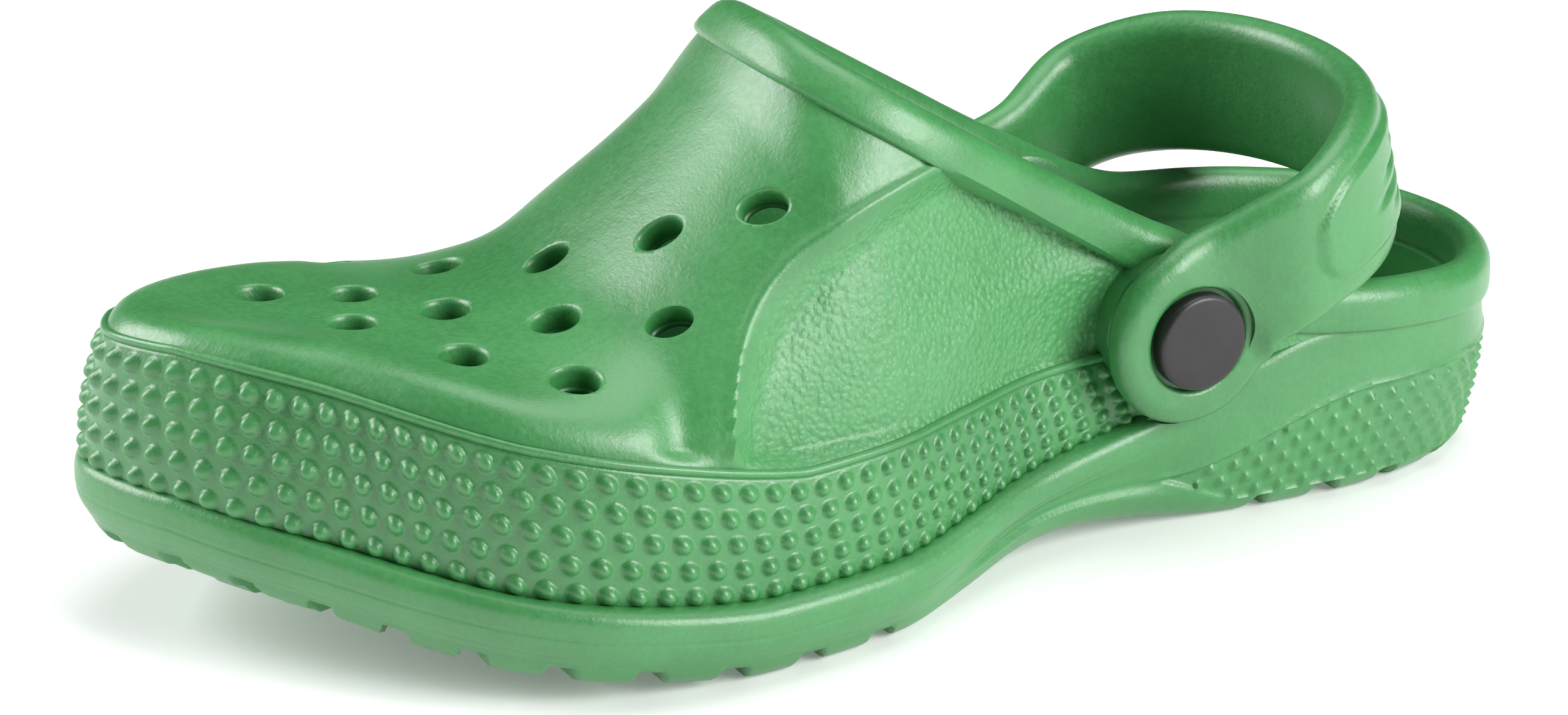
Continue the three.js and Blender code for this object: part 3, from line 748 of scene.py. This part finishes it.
def vent_tools():
    """Tools with a flared mouth that follows the skin, narrower one way where the skin is steep."""
    tools = []
    for k, (px, py) in enumerate(VENTS):
        px, py = px * SHOE_WIDTH / VENTS_FOR[0], py * SHOE_LENGTH / VENTS_FOR[1]
        pz = float(outer_skin(np.array(px), np.array(py)))
        face = skin_normal(np.array(px), np.array(py))
        axis = unit(VENT_LEAN * face + (1 - VENT_LEAN) * np.array((0.0, 0.0, 1.0)))
        slope = float(np.hypot(axis[0], axis[1]))
        narrow = unit(VENT_LOW_WAY - (axis @ VENT_LOW_WAY) * axis)
        flatter = VENT_SQUASH * float(ease(0.12, 0.42, slope))

        def settle(rows, axis=axis, face=face, centre=np.array((px, py, pz)), narrow=narrow, flatter=flatter):
            rows = rows - (flatter * ((rows - centre) @ narrow))[..., None] * narrow
            off = rows - centre
            level = off @ axis
            base = rows - level[..., None] * axis
            above = outer_skin(base[..., 0], base[..., 1]) - base[..., 2]
            gap = above * face[2] / (face @ axis)
            return rows + (np.clip(gap, -5, 5) * (level > -1.6))[..., None] * axis

        r = VENT_RADIUS - 0.2
        profile = [(0, -13), (r - 0.15, -13), (r - 0.15, -5.2), (r - 0.4, -4.9), (r - 0.4, -4.5), (r, -4.2),
                   (r, -1.1), (r + 0.08, -0.7), (r + 0.25, -0.36), (r + 0.5, -0.12), (r + 0.85, 0.03),
                   (r + 1.6, 0.3), (r + 1.6, 3), (0, 3)]
        tools.append(lathe(f"vent_tool_{k}", profile, (px, py, pz), axis, 48, settle))
    return tools


# ---- Footbed and seats ----
NUB_PITCH, NUB_RADIUS = 6.2, 2.1


def build_footbed(material):
    """Insole: across = from the inner to the outer edge, back = toe to heel, with rows of low round nubs."""
    fine = np.linspace(0, plan.length, 2001)[:-1]
    x, y, dx, dy, _ = plan.at(fine)
    inset = wall_inset(y) + WALL - 0.4
    ex, ey = x - inset * dx, y - inset * dy
    low, high = ey.argmin(), ey.argmax()
    ring = np.roll(np.stack([ex, ey], -1), -high, 0)
    n = (low - high) % len(ring)
    left, right = ring[: n + 1][::-1], np.vstack([ring[n:], ring[:1]])
    back = ey[low] + (ey[high] - ey[low]) * (1 - np.cos(np.linspace(0.06, np.pi - 0.06, 330))) / 2
    back = mix(back, np.linspace(back[0], back[-1], 330), 0.75)
    a, b = np.interp(back, left[:, 1], left[:, 0]), np.interp(back, right[:, 1], right[:, 0])
    v = np.sin(np.linspace(-1, 1, 110) * np.pi / 2 * 0.93)[:, None] / math.sin(np.pi / 2 * 0.93)
    px = (a + b) / 2 + v * (b - a) / 2
    py = np.broadcast_to(back, px.shape)
    edge = np.minimum((1 - np.abs(v)) * (b - a) / 2, np.minimum(back - ey[low], ey[high] - back))
    rise = 3.2 * (1 - np.clip(edge / 3.4, 0, 1)) ** 2
    row = np.round(py / NUB_PITCH)
    du = px / NUB_PITCH + 0.5 * np.mod(row, 2)
    du = (du - np.round(du)) * NUB_PITCH
    dome = np.clip(1 - (du**2 + (py - row * NUB_PITCH) ** 2) / NUB_RADIUS**2, 0, 1)
    nub = 0.85 * dome**0.8 * ease(3, 5, edge)
    pz = footbed_level(py) + rise + nub
    top = np.stack([px, py, pz], -1)
    bottom = np.stack([px, py, footbed_level(py) - 5], -1)
    n, m = top.shape[1], top.shape[0]
    points = np.vstack([top.reshape(-1, 3), bottom.reshape(-1, 3)])
    face = quads_of(m, n, closed_around=False)
    first = points[face[0]]
    if np.cross(first[1] - first[0], first[2] - first[1])[2] < 0:
        face = face[:, ::-1]
    edge_loop = np.concatenate([np.arange(n), np.arange(1, m) * n + n - 1,
                                (m - 1) * n + np.arange(n - 2, -1, -1), np.arange(m - 2, 0, -1) * n])
    nxt = np.roll(edge_loop, -1)
    wallq = np.stack([edge_loop, nxt, nxt + m * n, edge_loop + m * n], -1)
    p = points[wallq[0]]
    outwards = np.cross(p[1] - p[0], p[3] - p[0])
    if outwards @ (p[0] - points.mean(0)) < 0:
        wallq = wallq[:, ::-1]
    bed = make_object("footbed", points, np.vstack([face, face[:, ::-1] + m * n, wallq]), (), 50)
    finish_piece(bed, "shoe", material)
    return bed


def build_seats(material):
    """The round seats on the wall that the ears bear on."""
    made = []
    for name, sign in (("outer", 1), ("inner", -1)):
        seat, face = inner_seat(sign), wall_face(sign)
        bore, r = SEAT_BORE, PAD_RADIUS
        profile = [(bore, seat), (r - 1, seat), (r, seat + 0.6),
                   (r, face - 0.8), (r - 0.8, face), (bore, face)]
        made.append(ring_lathe(f"strap_seat_{name}", profile, sign, 72))
        finish_piece(made[-1], "shoe", material)
    return made


def ring_lathe(name, profile, sign, around):
    """A closed profile swept round the hinge line, as a washer."""
    r, out = np.array(profile, float).T
    turn = np.arange(around) * 2 * np.pi / around
    axis = np.array((float(sign), 0, 0))
    side, other = np.array((0, 0, 1.0)), np.cross(axis, (0, 0, 1.0))
    circle = np.cos(turn)[:, None] * side + np.sin(turn)[:, None] * other
    rows = np.array((0, PIVOT_Y, PIVOT_Z)) + r[:, None, None] * circle + out[:, None, None] * axis
    faces = quads_of(len(r), around, closed_rows=True)
    flat = rows.reshape(-1, 3)
    volume = np.einsum("ij,ij->i", flat[faces[:, 0]], np.cross(flat[faces[:, 1]], flat[faces[:, 2]])).sum()
    return make_object(name, rows, faces if volume > 0 else faces[:, ::-1], (), 40)


# ---- Heel strap ----
ARM_NECK = 12.6  # half the arm's width just behind the ear
ARM_EDGE = 3.3  # radius of the arm's rounded edge
PAD_START, PAD_HIGH = 25.0, 1.2


def build_strap(material):
    """Pillow on a curved middle line: middle + width * across + half thickness * outward.

    The half thickness follows a circle near the outline, so both ears and the arms have full round edges.
    """
    half_thick = EAR_THICK / 2
    outer, inner = ear_inner(1) + half_thick, ear_inner(-1) + half_thick
    centre_x, half_x = (outer - inner) / 2, (outer + inner) / 2
    depth = STRAP_REACH * 0.64
    arm = STRAP_REACH - half_thick - depth
    t = np.linspace(0, 1, 4001)
    turn = np.pi * np.clip((t - 0.2) / 0.6, 0, 1)
    last = np.where(t < 0.2, arm * t / 0.2, arm + depth * np.sin(turn))
    last = np.where(t > 0.8, arm * (1 - t) / 0.2, last)
    px = centre_x + (half_x + STRAP_FLARE * ease(4, arm + 6, last)) * np.cos(turn)
    rise = STRAP_RISE * (1 - (1 - np.clip(last / STRAP_REACH, 0, 1)) ** 2.2)
    path = np.stack([px, PIVOT_Y + last, PIVOT_Z + rise], -1)
    gone = np.concatenate([[0], np.cumsum(np.linalg.norm(np.diff(path, axis=0), axis=1))])
    total = gone[-1]
    tip = EAR_RADIUS
    q = np.linspace(0, 1, 64)[:-1]
    front = -tip * np.cos(q * np.pi / 2)
    tau = np.concatenate([front, np.linspace(0, total, 300), total - front[::-1]])
    inside = np.clip(tau, 0, total)
    mid = np.stack([np.interp(inside, gone, path[:, k]) for k in range(3)], -1)
    slope = unit(np.gradient(path, axis=0))
    along_dir = np.stack([np.interp(inside, gone, slope[:, k]) for k in range(3)], -1)
    flat_y = unit(np.array((0.0, path[40, 1] - path[0, 1], path[40, 2] - path[0, 2])))
    from_end = np.minimum(np.clip(tau, 0, None), np.clip(total - tau, 0, None))
    sign_end = np.where(tau < total / 2, 1.0, -1.0)
    near = (1 - ease(0, 14, from_end))[:, None]
    along_dir = unit(along_dir * (1 - near) + near * sign_end[:, None] * flat_y)
    mid = mid + (tau - inside)[:, None] * along_dir
    level = unit(along_dir * (1, 1, 0))
    out = np.stack([level[:, 1], -level[:, 0], 0 * tau], -1)
    tilt = (STRAP_TILT * ease(PIVOT_Y + 8, PIVOT_Y + 40, mid[:, 1]))[:, None]
    zed = np.array((0.0, 0, 1.0))
    high = zed * np.cos(tilt) - out * np.sin(tilt)
    square = unit(np.cross(out, along_dir))
    square = square * np.sign(square[:, 2:3])
    turned = ease(4, 40, from_end)[:, None]
    high = unit(square * (1 - turned) + high * turned)
    wide = unit(np.cross(along_dir, high))
    end = np.where(tau < total / 2, tau, total - tau)
    circle = np.sqrt(np.maximum(EAR_RADIUS**2 - end**2, 0))
    arm_w = mix(ARM_NECK, STRAP_WIDTH / 2, ease(12, 46, end))
    soft = 2.2
    both = np.where(circle > arm_w + 8, circle, arm_w + soft * np.log1p(np.exp((circle - arm_w) / soft)))
    width = np.where(end < 2, circle, mix(circle, both, ease(2, 9, end)))
    edge_scale = mix(EAR_RADIUS, np.maximum(width, 1e-3), ease(6, 20, end))

    m = 64
    v = np.sin(np.linspace(-1, 1, m + 1) * np.pi / 2)[:, None]
    reach = v * width
    edge = (width**2 - reach**2) / (2 * edge_scale)
    body = np.sqrt(np.clip(1 - (1 - np.clip(edge / ARM_EDGE, 0, 1)) ** 2, 0, 1)) * half_thick
    pad_zone, flutes = pad_relief(end, reach, width)
    rim = 0.3 * np.exp(-(((edge - 3.6) / 1.4) ** 2)) * ease(16, 26, end)
    face = body + (pad_zone + flutes + rim * 0.6) * ease(0.5, 3, edge)
    back = body + 0.15 * rim
    spot = mid[None] + reach[..., None] * high
    front_pts, back_pts = spot + wide * face[..., None], spot - wide * back[..., None]
    n = len(tau)
    loop = np.concatenate([front_pts[:, 1:-1], back_pts[::-1, 1:-1][1:-1]])
    around = len(loop)
    rows = np.swapaxes(loop, 0, 1)
    points = np.vstack([rows.reshape(-1, 3), mid[:1], mid[-1:]])
    faces = quads_of(n - 2, around)
    tris = np.vstack([fan_cap(np.arange(around), (n - 2) * around, True),
                      fan_cap(np.arange(around) + (n - 3) * around, (n - 2) * around + 1)])
    volume = np.einsum("ij,ij->i", points[faces[:, 0]] - mid.mean(0),
                       np.cross(points[faces[:, 1]] - mid.mean(0), points[faces[:, 2]] - mid.mean(0))).sum()
    if volume < 0:
        faces, tris = faces[:, ::-1], tris[:, ::-1]
    strap = make_object("strap", points, faces, tris, 50)
    tools = []
    for sign in (1, -1):
        face = ear_outer(sign)
        r = CAP_RADIUS + 0.75
        profile = [(0, ear_inner(sign) - 3), (SEAT_BORE, ear_inner(sign) - 3), (SEAT_BORE, face - CAP_RECESS),
                   (r, face - CAP_RECESS), (r, face - 0.75), (r + 0.15, face - 0.4), (r + 0.5, face - 0.12),
                   (r + 1.2, face + 0.08), (r + 1.2, face + 4), (0, face + 4)]
        tools.append(lathe(f"ear_tool_{sign}", profile, (0, PIVOT_Y, PIVOT_Z), (sign, 0, 0), 96))
    cut(strap, tools, 50)
    finish_piece(strap, "strap", material, ("heel_strap",))
    return strap


def pad_relief(end, reach, width):
    """A raised pad with a round end behind each ear, scored by four tapering flutes."""
    share = reach / np.maximum(width, 1e-3)
    head = np.clip((end - PAD_START) / 9.0, 0, 1)
    half = 0.66 * np.sqrt(np.maximum(1 - (1 - head) ** 2, 0))
    inside = ease(-0.02, 0.11, half - np.abs(share)) * ease(PAD_START, PAD_START + 2.5, end)
    raised = PAD_HIGH * inside
    lines = np.zeros_like(raised)
    for place, begin in ((-0.36, 44), (-0.12, 37), (0.12, 41), (0.36, 48)):
        length = ease(begin, begin + 10, end)
        lines = lines - length * np.exp(-(((share - place) / (0.02 + 0.028 * length)) ** 2))
    return raised, lines * (np.abs(share) < 0.62)


# ---- Rivets ----
def build_rivets(material):
    """Turned caps with slightly domed faces on their posts, and the sockets that hold them."""
    for name, sign in (("outer", 1), ("inner", -1)):
        base = ear_outer(sign) - CAP_RECESS + GAP
        top = base + 3.2
        post_end = inner_seat(sign) - 1.8
        r, post = CAP_RADIUS, POST_RADIUS
        flat = r - 0.95
        crown = [(flat - d, top - 0.18 + 0.18 * (1 - ((flat - d) / flat) ** 2)) for d in (0, 1.5, 3.5, 5.5)]
        profile = [(0, post_end), (post, post_end), (post, base), (r - 0.2, base), (r, base + 0.2),
                   (r, top - 1.1), (r - 0.06, top - 0.78), (r - 0.24, top - 0.48), (r - 0.52, top - 0.27),
                   *crown, (0, top)]
        cap = lathe(f"rivet_cap_face_{name}", profile, (0, PIVOT_Y, PIVOT_Z), (sign, 0, 0), 96, angle=40)
        finish_piece(cap, f"rivet_{name}", material, (f"rivet_cap_{name}",))
        seat = inner_seat(sign) - GAP
        r = SOCKET_RADIUS
        hollow = post + GAP
        low = seat - 3.4
        profile = [(0, low), (2.6, low), (2.9, seat - 3.1), (3.6, seat - 3.1), (3.9, low),
                   (r - 1.4, low), (r - 0.5, seat - 3.1), (r, seat - 2.4), (r, seat - 0.2),
                   (r - 0.2, seat), (hollow, seat), (hollow, seat - 1.8), (0, seat - 1.8)]
        socket = lathe(f"rivet_socket_face_{name}", profile, (0, PIVOT_Y, PIVOT_Z), (sign, 0, 0), angle=40)
        finish_piece(socket, f"rivet_{name}", material, (f"rivet_socket_{name}",))


# ---- Finishes ----
class Wire:
    """A shader value: sums and products of wires add Math nodes."""

    def __init__(self, tree, socket):
        self.tree, self.socket = tree, socket

    def _math(self, operation, *values):
        return self.tree.node("ShaderNodeMath", {"operation": operation}, dict(enumerate(values)))

    def __add__(self, other):
        return self._math("ADD", self, other)

    def __sub__(self, other):
        return self._math("SUBTRACT", self, other)

    def __rsub__(self, other):
        return self._math("SUBTRACT", other, self)

    def __mul__(self, other):
        return self._math("MULTIPLY", self, other)

    __radd__ = __add__
    __rmul__ = __mul__


class Tree:
    """A material's nodes, and one way to add any of them."""

    def __init__(self, name):
        self.material = bpy.data.materials.new(name)
        self.material.use_nodes = True
        self.nodes = self.material.node_tree.nodes
        self.links = self.material.node_tree.links
        self.shader = next(n for n in self.nodes if n.type == "BSDF_PRINCIPLED")
        self.place = self.node("ShaderNodeTexCoord", out="Object")

    def node(self, kind, settings=None, inputs=None, out=0):
        made = self.nodes.new(kind)
        for key, value in (settings or {}).items():
            setattr(made, key, value)
        self.feed(made, inputs or {})
        return Wire(self, made.outputs[out])

    def feed(self, made, inputs):
        for key, value in inputs.items():
            socket = made.inputs[key]
            if isinstance(value, Wire):
                self.links.new(value.socket, socket)
            else:
                socket.default_value = value

    def noise(self, scale, detail=2.0, rough=0.5):
        return self.node("ShaderNodeTexNoise", {}, {"Vector": self.place, "Scale": scale, "Detail": detail,
                                                     "Roughness": rough}, out="Fac")

    def blend(self, factor, first, second):
        return self.node("ShaderNodeMix", {"data_type": "RGBA"}, {0: factor, 6: first, 7: second}, out=2)

    def range(self, value, low, high, to_low=0.0, to_high=1.0):
        return self.node("ShaderNodeMapRange", {"interpolation_type": "SMOOTHSTEP"},
                         {0: value, 1: low, 2: high, 3: to_low, 4: to_high})


def rgba(colour):
    """A colour with full opacity."""
    return (*colour, 1.0)


def foam_material(name, colour, grain, panel=False):
    """Moulded foam: satin, faintly mottled, with a fine skin grain and a leather grain on the side panels;
    the side panels also get a painted sheen, and painted shade in the leather grain's creases.
    """
    tree = Tree(name)
    deep = rgba([c * 0.80 for c in colour])
    pale = rgba([min(1, c * 1.14 + 0.004) for c in colour])
    cloud = tree.range(tree.noise(38.0, 3.0, 0.55), 0.3, 0.7)
    fleck = tree.range(tree.noise(900.0, 2.0), 0.35, 0.65)
    colour_now = tree.blend(cloud * 0.5 + fleck * 0.22 + 0.14, deep, pale)
    fine = tree.noise(1500.0, 2.0, 0.6)
    ripple = tree.noise(190.0, 2.0, 0.5)
    height = fine * (0.00009 * grain) + ripple * 0.00022
    rough = fleck * 0.07 + cloud * 0.05 + 0.37
    if panel:
        mark = tree.node("ShaderNodeAttribute", {"attribute_name": "panel"}, out="Fac")
        cell = tree.node("ShaderNodeTexVoronoi", {"feature": "SMOOTH_F1"},
                         {"Vector": tree.place, "Scale": 900.0, "Smoothness": 0.5}, out="Distance")
        wrinkle = tree.noise(1000.0, 3.0, 0.6)
        leather = (wrinkle * 0.4 - cell * 0.8) * 0.00048
        height = height + leather * mark
        # Painted sheen: the side panels are painted lighter and paler, standing in for the highlight on them.
        painted_sheen = rgba([c * 1.25 + 0.03 for c in colour])
        colour_now = tree.blend(mark * 0.6, colour_now, painted_sheen)
        # Painted shade: the leather grain's creases, where the bump is lowest, are painted darker.
        colour_now = tree.blend(tree.range(cell, 0.35, 0.75) * mark * 0.35, colour_now, deep)
        rough = rough + mark * 0.05
    bump = tree.node("ShaderNodeBump", {}, {"Strength": 1.0, "Distance": 1.0, "Height": height}, out="Normal")
    tree.feed(tree.shader, {"Base Color": colour_now, "Roughness": rough, "Normal": bump,
                            "Specular IOR Level": 0.65, "Coat Weight": 0.4, "Coat Roughness": 0.33})
    return tree.material


def plastic_material(name, colour):
    """Satin moulded plastic with a very fine spark-eroded grain."""
    tree = Tree(name)
    grain = tree.noise(3200.0, 2.0)
    haze = tree.range(tree.noise(160.0, 2.0), 0.35, 0.7)
    tone = tree.blend(haze * 0.6 + grain * 0.2, rgba(colour), rgba([c * 1.5 for c in colour]))
    bump = tree.node("ShaderNodeBump", {}, {"Strength": 1.0, "Distance": 1.0, "Height": grain * 0.00002},
                     out="Normal")
    tree.feed(tree.shader, {"Base Color": tone, "Roughness": haze * 0.08 + 0.36, "Normal": bump})
    return tree.material


# ---- The add-on ----
class ClogSizes(bpy.types.PropertyGroup):
    """Colours and view that a user would change."""

    foam_colour: FloatVectorProperty(
        name="Foam", description="Colour of the moulded foam", subtype="COLOR", size=3, min=0, max=1,
        default=(0.044, 0.240, 0.064),
    )
    button_colour: FloatVectorProperty(
        name="Rivets", description="Colour of the rivet plastic", subtype="COLOR", size=3, min=0, max=1,
        default=(0.016, 0.014, 0.016),
    )
    grain: FloatProperty(
        name="Skin grain", description="Strength of the foam's fine grain", default=1.0, min=0, max=4,
    )
    camera_azimuth: FloatProperty(
        name="Azimuth", description="Where the camera stands round the shoe", default=math.radians(62),
        subtype="ANGLE", unit="ROTATION",
    )
    camera_height: FloatProperty(
        name="Elevation", description="How high the camera looks from", default=math.radians(21.8),
        subtype="ANGLE", unit="ROTATION",
    )
    camera_distance: FloatProperty(
        name="Distance", description="From the camera to what it looks at", default=0.9, unit="LENGTH",
    )
    lens: FloatProperty(
        name="Lens", description="Focal length in millimetres", default=122.63, min=10, max=400,
    )
    key_light: FloatProperty(
        name="Light", description="Power in watts that all three lights are set from", default=12.0, min=0,
    )


def settings():
    """The sizes and colours that the panel shows."""
    return bpy.context.scene.clog_sizes


def material_named(name, maker):
    """The material of that name, made on first use."""
    return bpy.data.materials.get(name) or maker()


def foam():
    """The plain foam."""
    own = settings()
    return material_named("moulded_foam", lambda: foam_material("moulded_foam", own.foam_colour, own.grain))


def foam_with_panels():
    """The foam with the side panels' leather grain, their painted sheen and painted shade in the grain's
    creases.
    """
    own = settings()
    return material_named(
        "moulded_foam_panels",
        lambda: foam_material("moulded_foam_panels", own.foam_colour, own.grain, panel=True),
    )


class CLOG_OT_sole(bpy.types.Operator):
    """Build the sole with its bead, tread and dotted heel panel"""

    bl_idname = "clog.sole"
    bl_label = "Sole"

    def execute(self, context):
        build_sole(foam())
        return {"FINISHED"}


class CLOG_OT_band(bpy.types.Operator):
    """Build the dotted band round the forefoot"""

    bl_idname = "clog.band"
    bl_label = "Dotted band"

    def execute(self, context):
        build_band(foam())
        return {"FINISHED"}


class CLOG_OT_upper(bpy.types.Operator):
    """Build the vamp, side panels, rolled rim and inner wall, with the vents"""

    bl_idname = "clog.upper"
    bl_label = "Upper"

    def execute(self, context):
        build_upper(foam_with_panels())
        build_seats(foam())
        return {"FINISHED"}


class CLOG_OT_footbed(bpy.types.Operator):
    """Build the nubbed footbed"""

    bl_idname = "clog.footbed"
    bl_label = "Footbed"

    def execute(self, context):
        build_footbed(foam())
        return {"FINISHED"}


class CLOG_OT_strap(bpy.types.Operator):
    """Build the heel strap with its ears and pads"""

    bl_idname = "clog.strap"
    bl_label = "Heel strap"

    def execute(self, context):
        build_strap(foam())
        return {"FINISHED"}


class CLOG_OT_rivets(bpy.types.Operator):
    """Build both rivets' caps and sockets"""

    bl_idname = "clog.rivets"
    bl_label = "Rivets"

    def execute(self, context):
        colour = settings().button_colour
        build_rivets(material_named("satin_plastic", lambda: plastic_material("satin_plastic", colour)))
        return {"FINISHED"}


class CLOG_OT_stage(bpy.types.Operator):
    """Build the pale floor, the soft lights and the camera"""

    bl_idname = "clog.stage"
    bl_label = "Stage"

    def execute(self, context):
        build_stage(settings())
        return {"FINISHED"}


class CLOG_PT_panel(bpy.types.Panel):
    """Lists the sizes and the pieces"""

    bl_idname = "CLOG_PT_panel"
    bl_label = "Garden clog"
    bl_space_type = "VIEW_3D"
    bl_region_type = "UI"
    bl_category = "Clog"

    def draw(self, context):
        own = context.scene.clog_sizes
        for key in ClogSizes.__annotations__:
            self.layout.prop(own, key)
        for operator in PIECES:
            self.layout.operator(operator.bl_idname)


PIECES = (
    CLOG_OT_sole, CLOG_OT_band, CLOG_OT_upper, CLOG_OT_footbed, CLOG_OT_strap, CLOG_OT_rivets, CLOG_OT_stage,
)


CAMERA_TARGET = (0.01392, -0.01802, 0.040)  # metres


def aim(thing, place, target):
    """Put a light or camera at a place, looking at a target."""
    thing.location = place
    thing.rotation_mode = "QUATERNION"
    thing.rotation_quaternion = (Vector(target) - Vector(place)).to_track_quat("-Z", "Y")


def area_light(name, place, target, size, power, size_y=None):
    """A soft rectangular light, in metres and watts, turned to its target."""
    data = bpy.data.lights.new(name, "AREA")
    data.shape = "RECTANGLE"
    data.size, data.size_y = size, size_y or size
    data.energy = power
    thing = bpy.data.objects.new(name, data)
    bpy.context.scene.collection.objects.link(thing)
    aim(thing, place, target)


def build_stage(own):
    """Pale floor, one large light above, one to the right and one to the left, and the camera."""
    half = 6000
    corners = [(-half, -half, 0), (half, -half, 0), (half, half, 0), (-half, half, 0)]
    floor = make_object("floor", corners, [(0, 1, 2, 3)])
    tree = Tree("pale_floor")
    tree.feed(tree.shader, {"Base Color": (0.9, 0.9, 0.9, 1), "Roughness": 0.7, "Specular IOR Level": 0.2,
                            "Emission Color": (1, 1, 1, 1), "Emission Strength": 0.17})
    floor.data.materials.append(tree.material)
    world = bpy.data.worlds.new("studio")
    bpy.context.scene.world = world
    world.use_nodes = True
    back = next(n for n in world.node_tree.nodes if n.type == "BACKGROUND")
    back.inputs["Color"].default_value = (1, 1, 1, 1)
    back.inputs["Strength"].default_value = 0.04
    area_light("above", (-0.15, 0.30, 1.5), (0, 0, 0.03), 1.2, own.key_light * 1.15)
    area_light("right", (1.00, 0.62, 0.66), (0, 0.02, 0.05), 0.75, own.key_light * 1.8, 0.8)
    area_light("left", (-0.70, -1.00, 0.68), (0, -0.05, 0.04), 0.85, own.key_light * 1.75)
    data = bpy.data.cameras.new("camera")
    data.sensor_width, data.lens = 36.0, own.lens
    data.clip_start, data.clip_end = 0.01, 50
    camera = bpy.data.objects.new("camera", data)
    bpy.context.scene.collection.objects.link(camera)
    a, e = own.camera_azimuth, own.camera_height
    target = np.array(CAMERA_TARGET)
    back_dir = np.array((math.sin(a) * math.cos(e), -math.cos(a) * math.cos(e), math.sin(e)))
    aim(camera, tuple(target + back_dir * own.camera_distance), tuple(target))
    bpy.context.scene.camera = camera
    bpy.context.scene.view_settings.view_transform = "Standard"


CLASSES = (ClogSizes, *PIECES, CLOG_PT_panel)


def register():
    for item in CLASSES:
        bpy.utils.register_class(item)
    bpy.types.Scene.clog_sizes = PointerProperty(type=ClogSizes)


def unregister():
    del bpy.types.Scene.clog_sizes
    for item in reversed(CLASSES):
        bpy.utils.unregister_class(item)


def main():
    register()
    for operator in PIECES:
        group, name = operator.bl_idname.split(".")
        getattr(getattr(bpy.ops, group), name)()


if __name__ == "__main__":
    main()
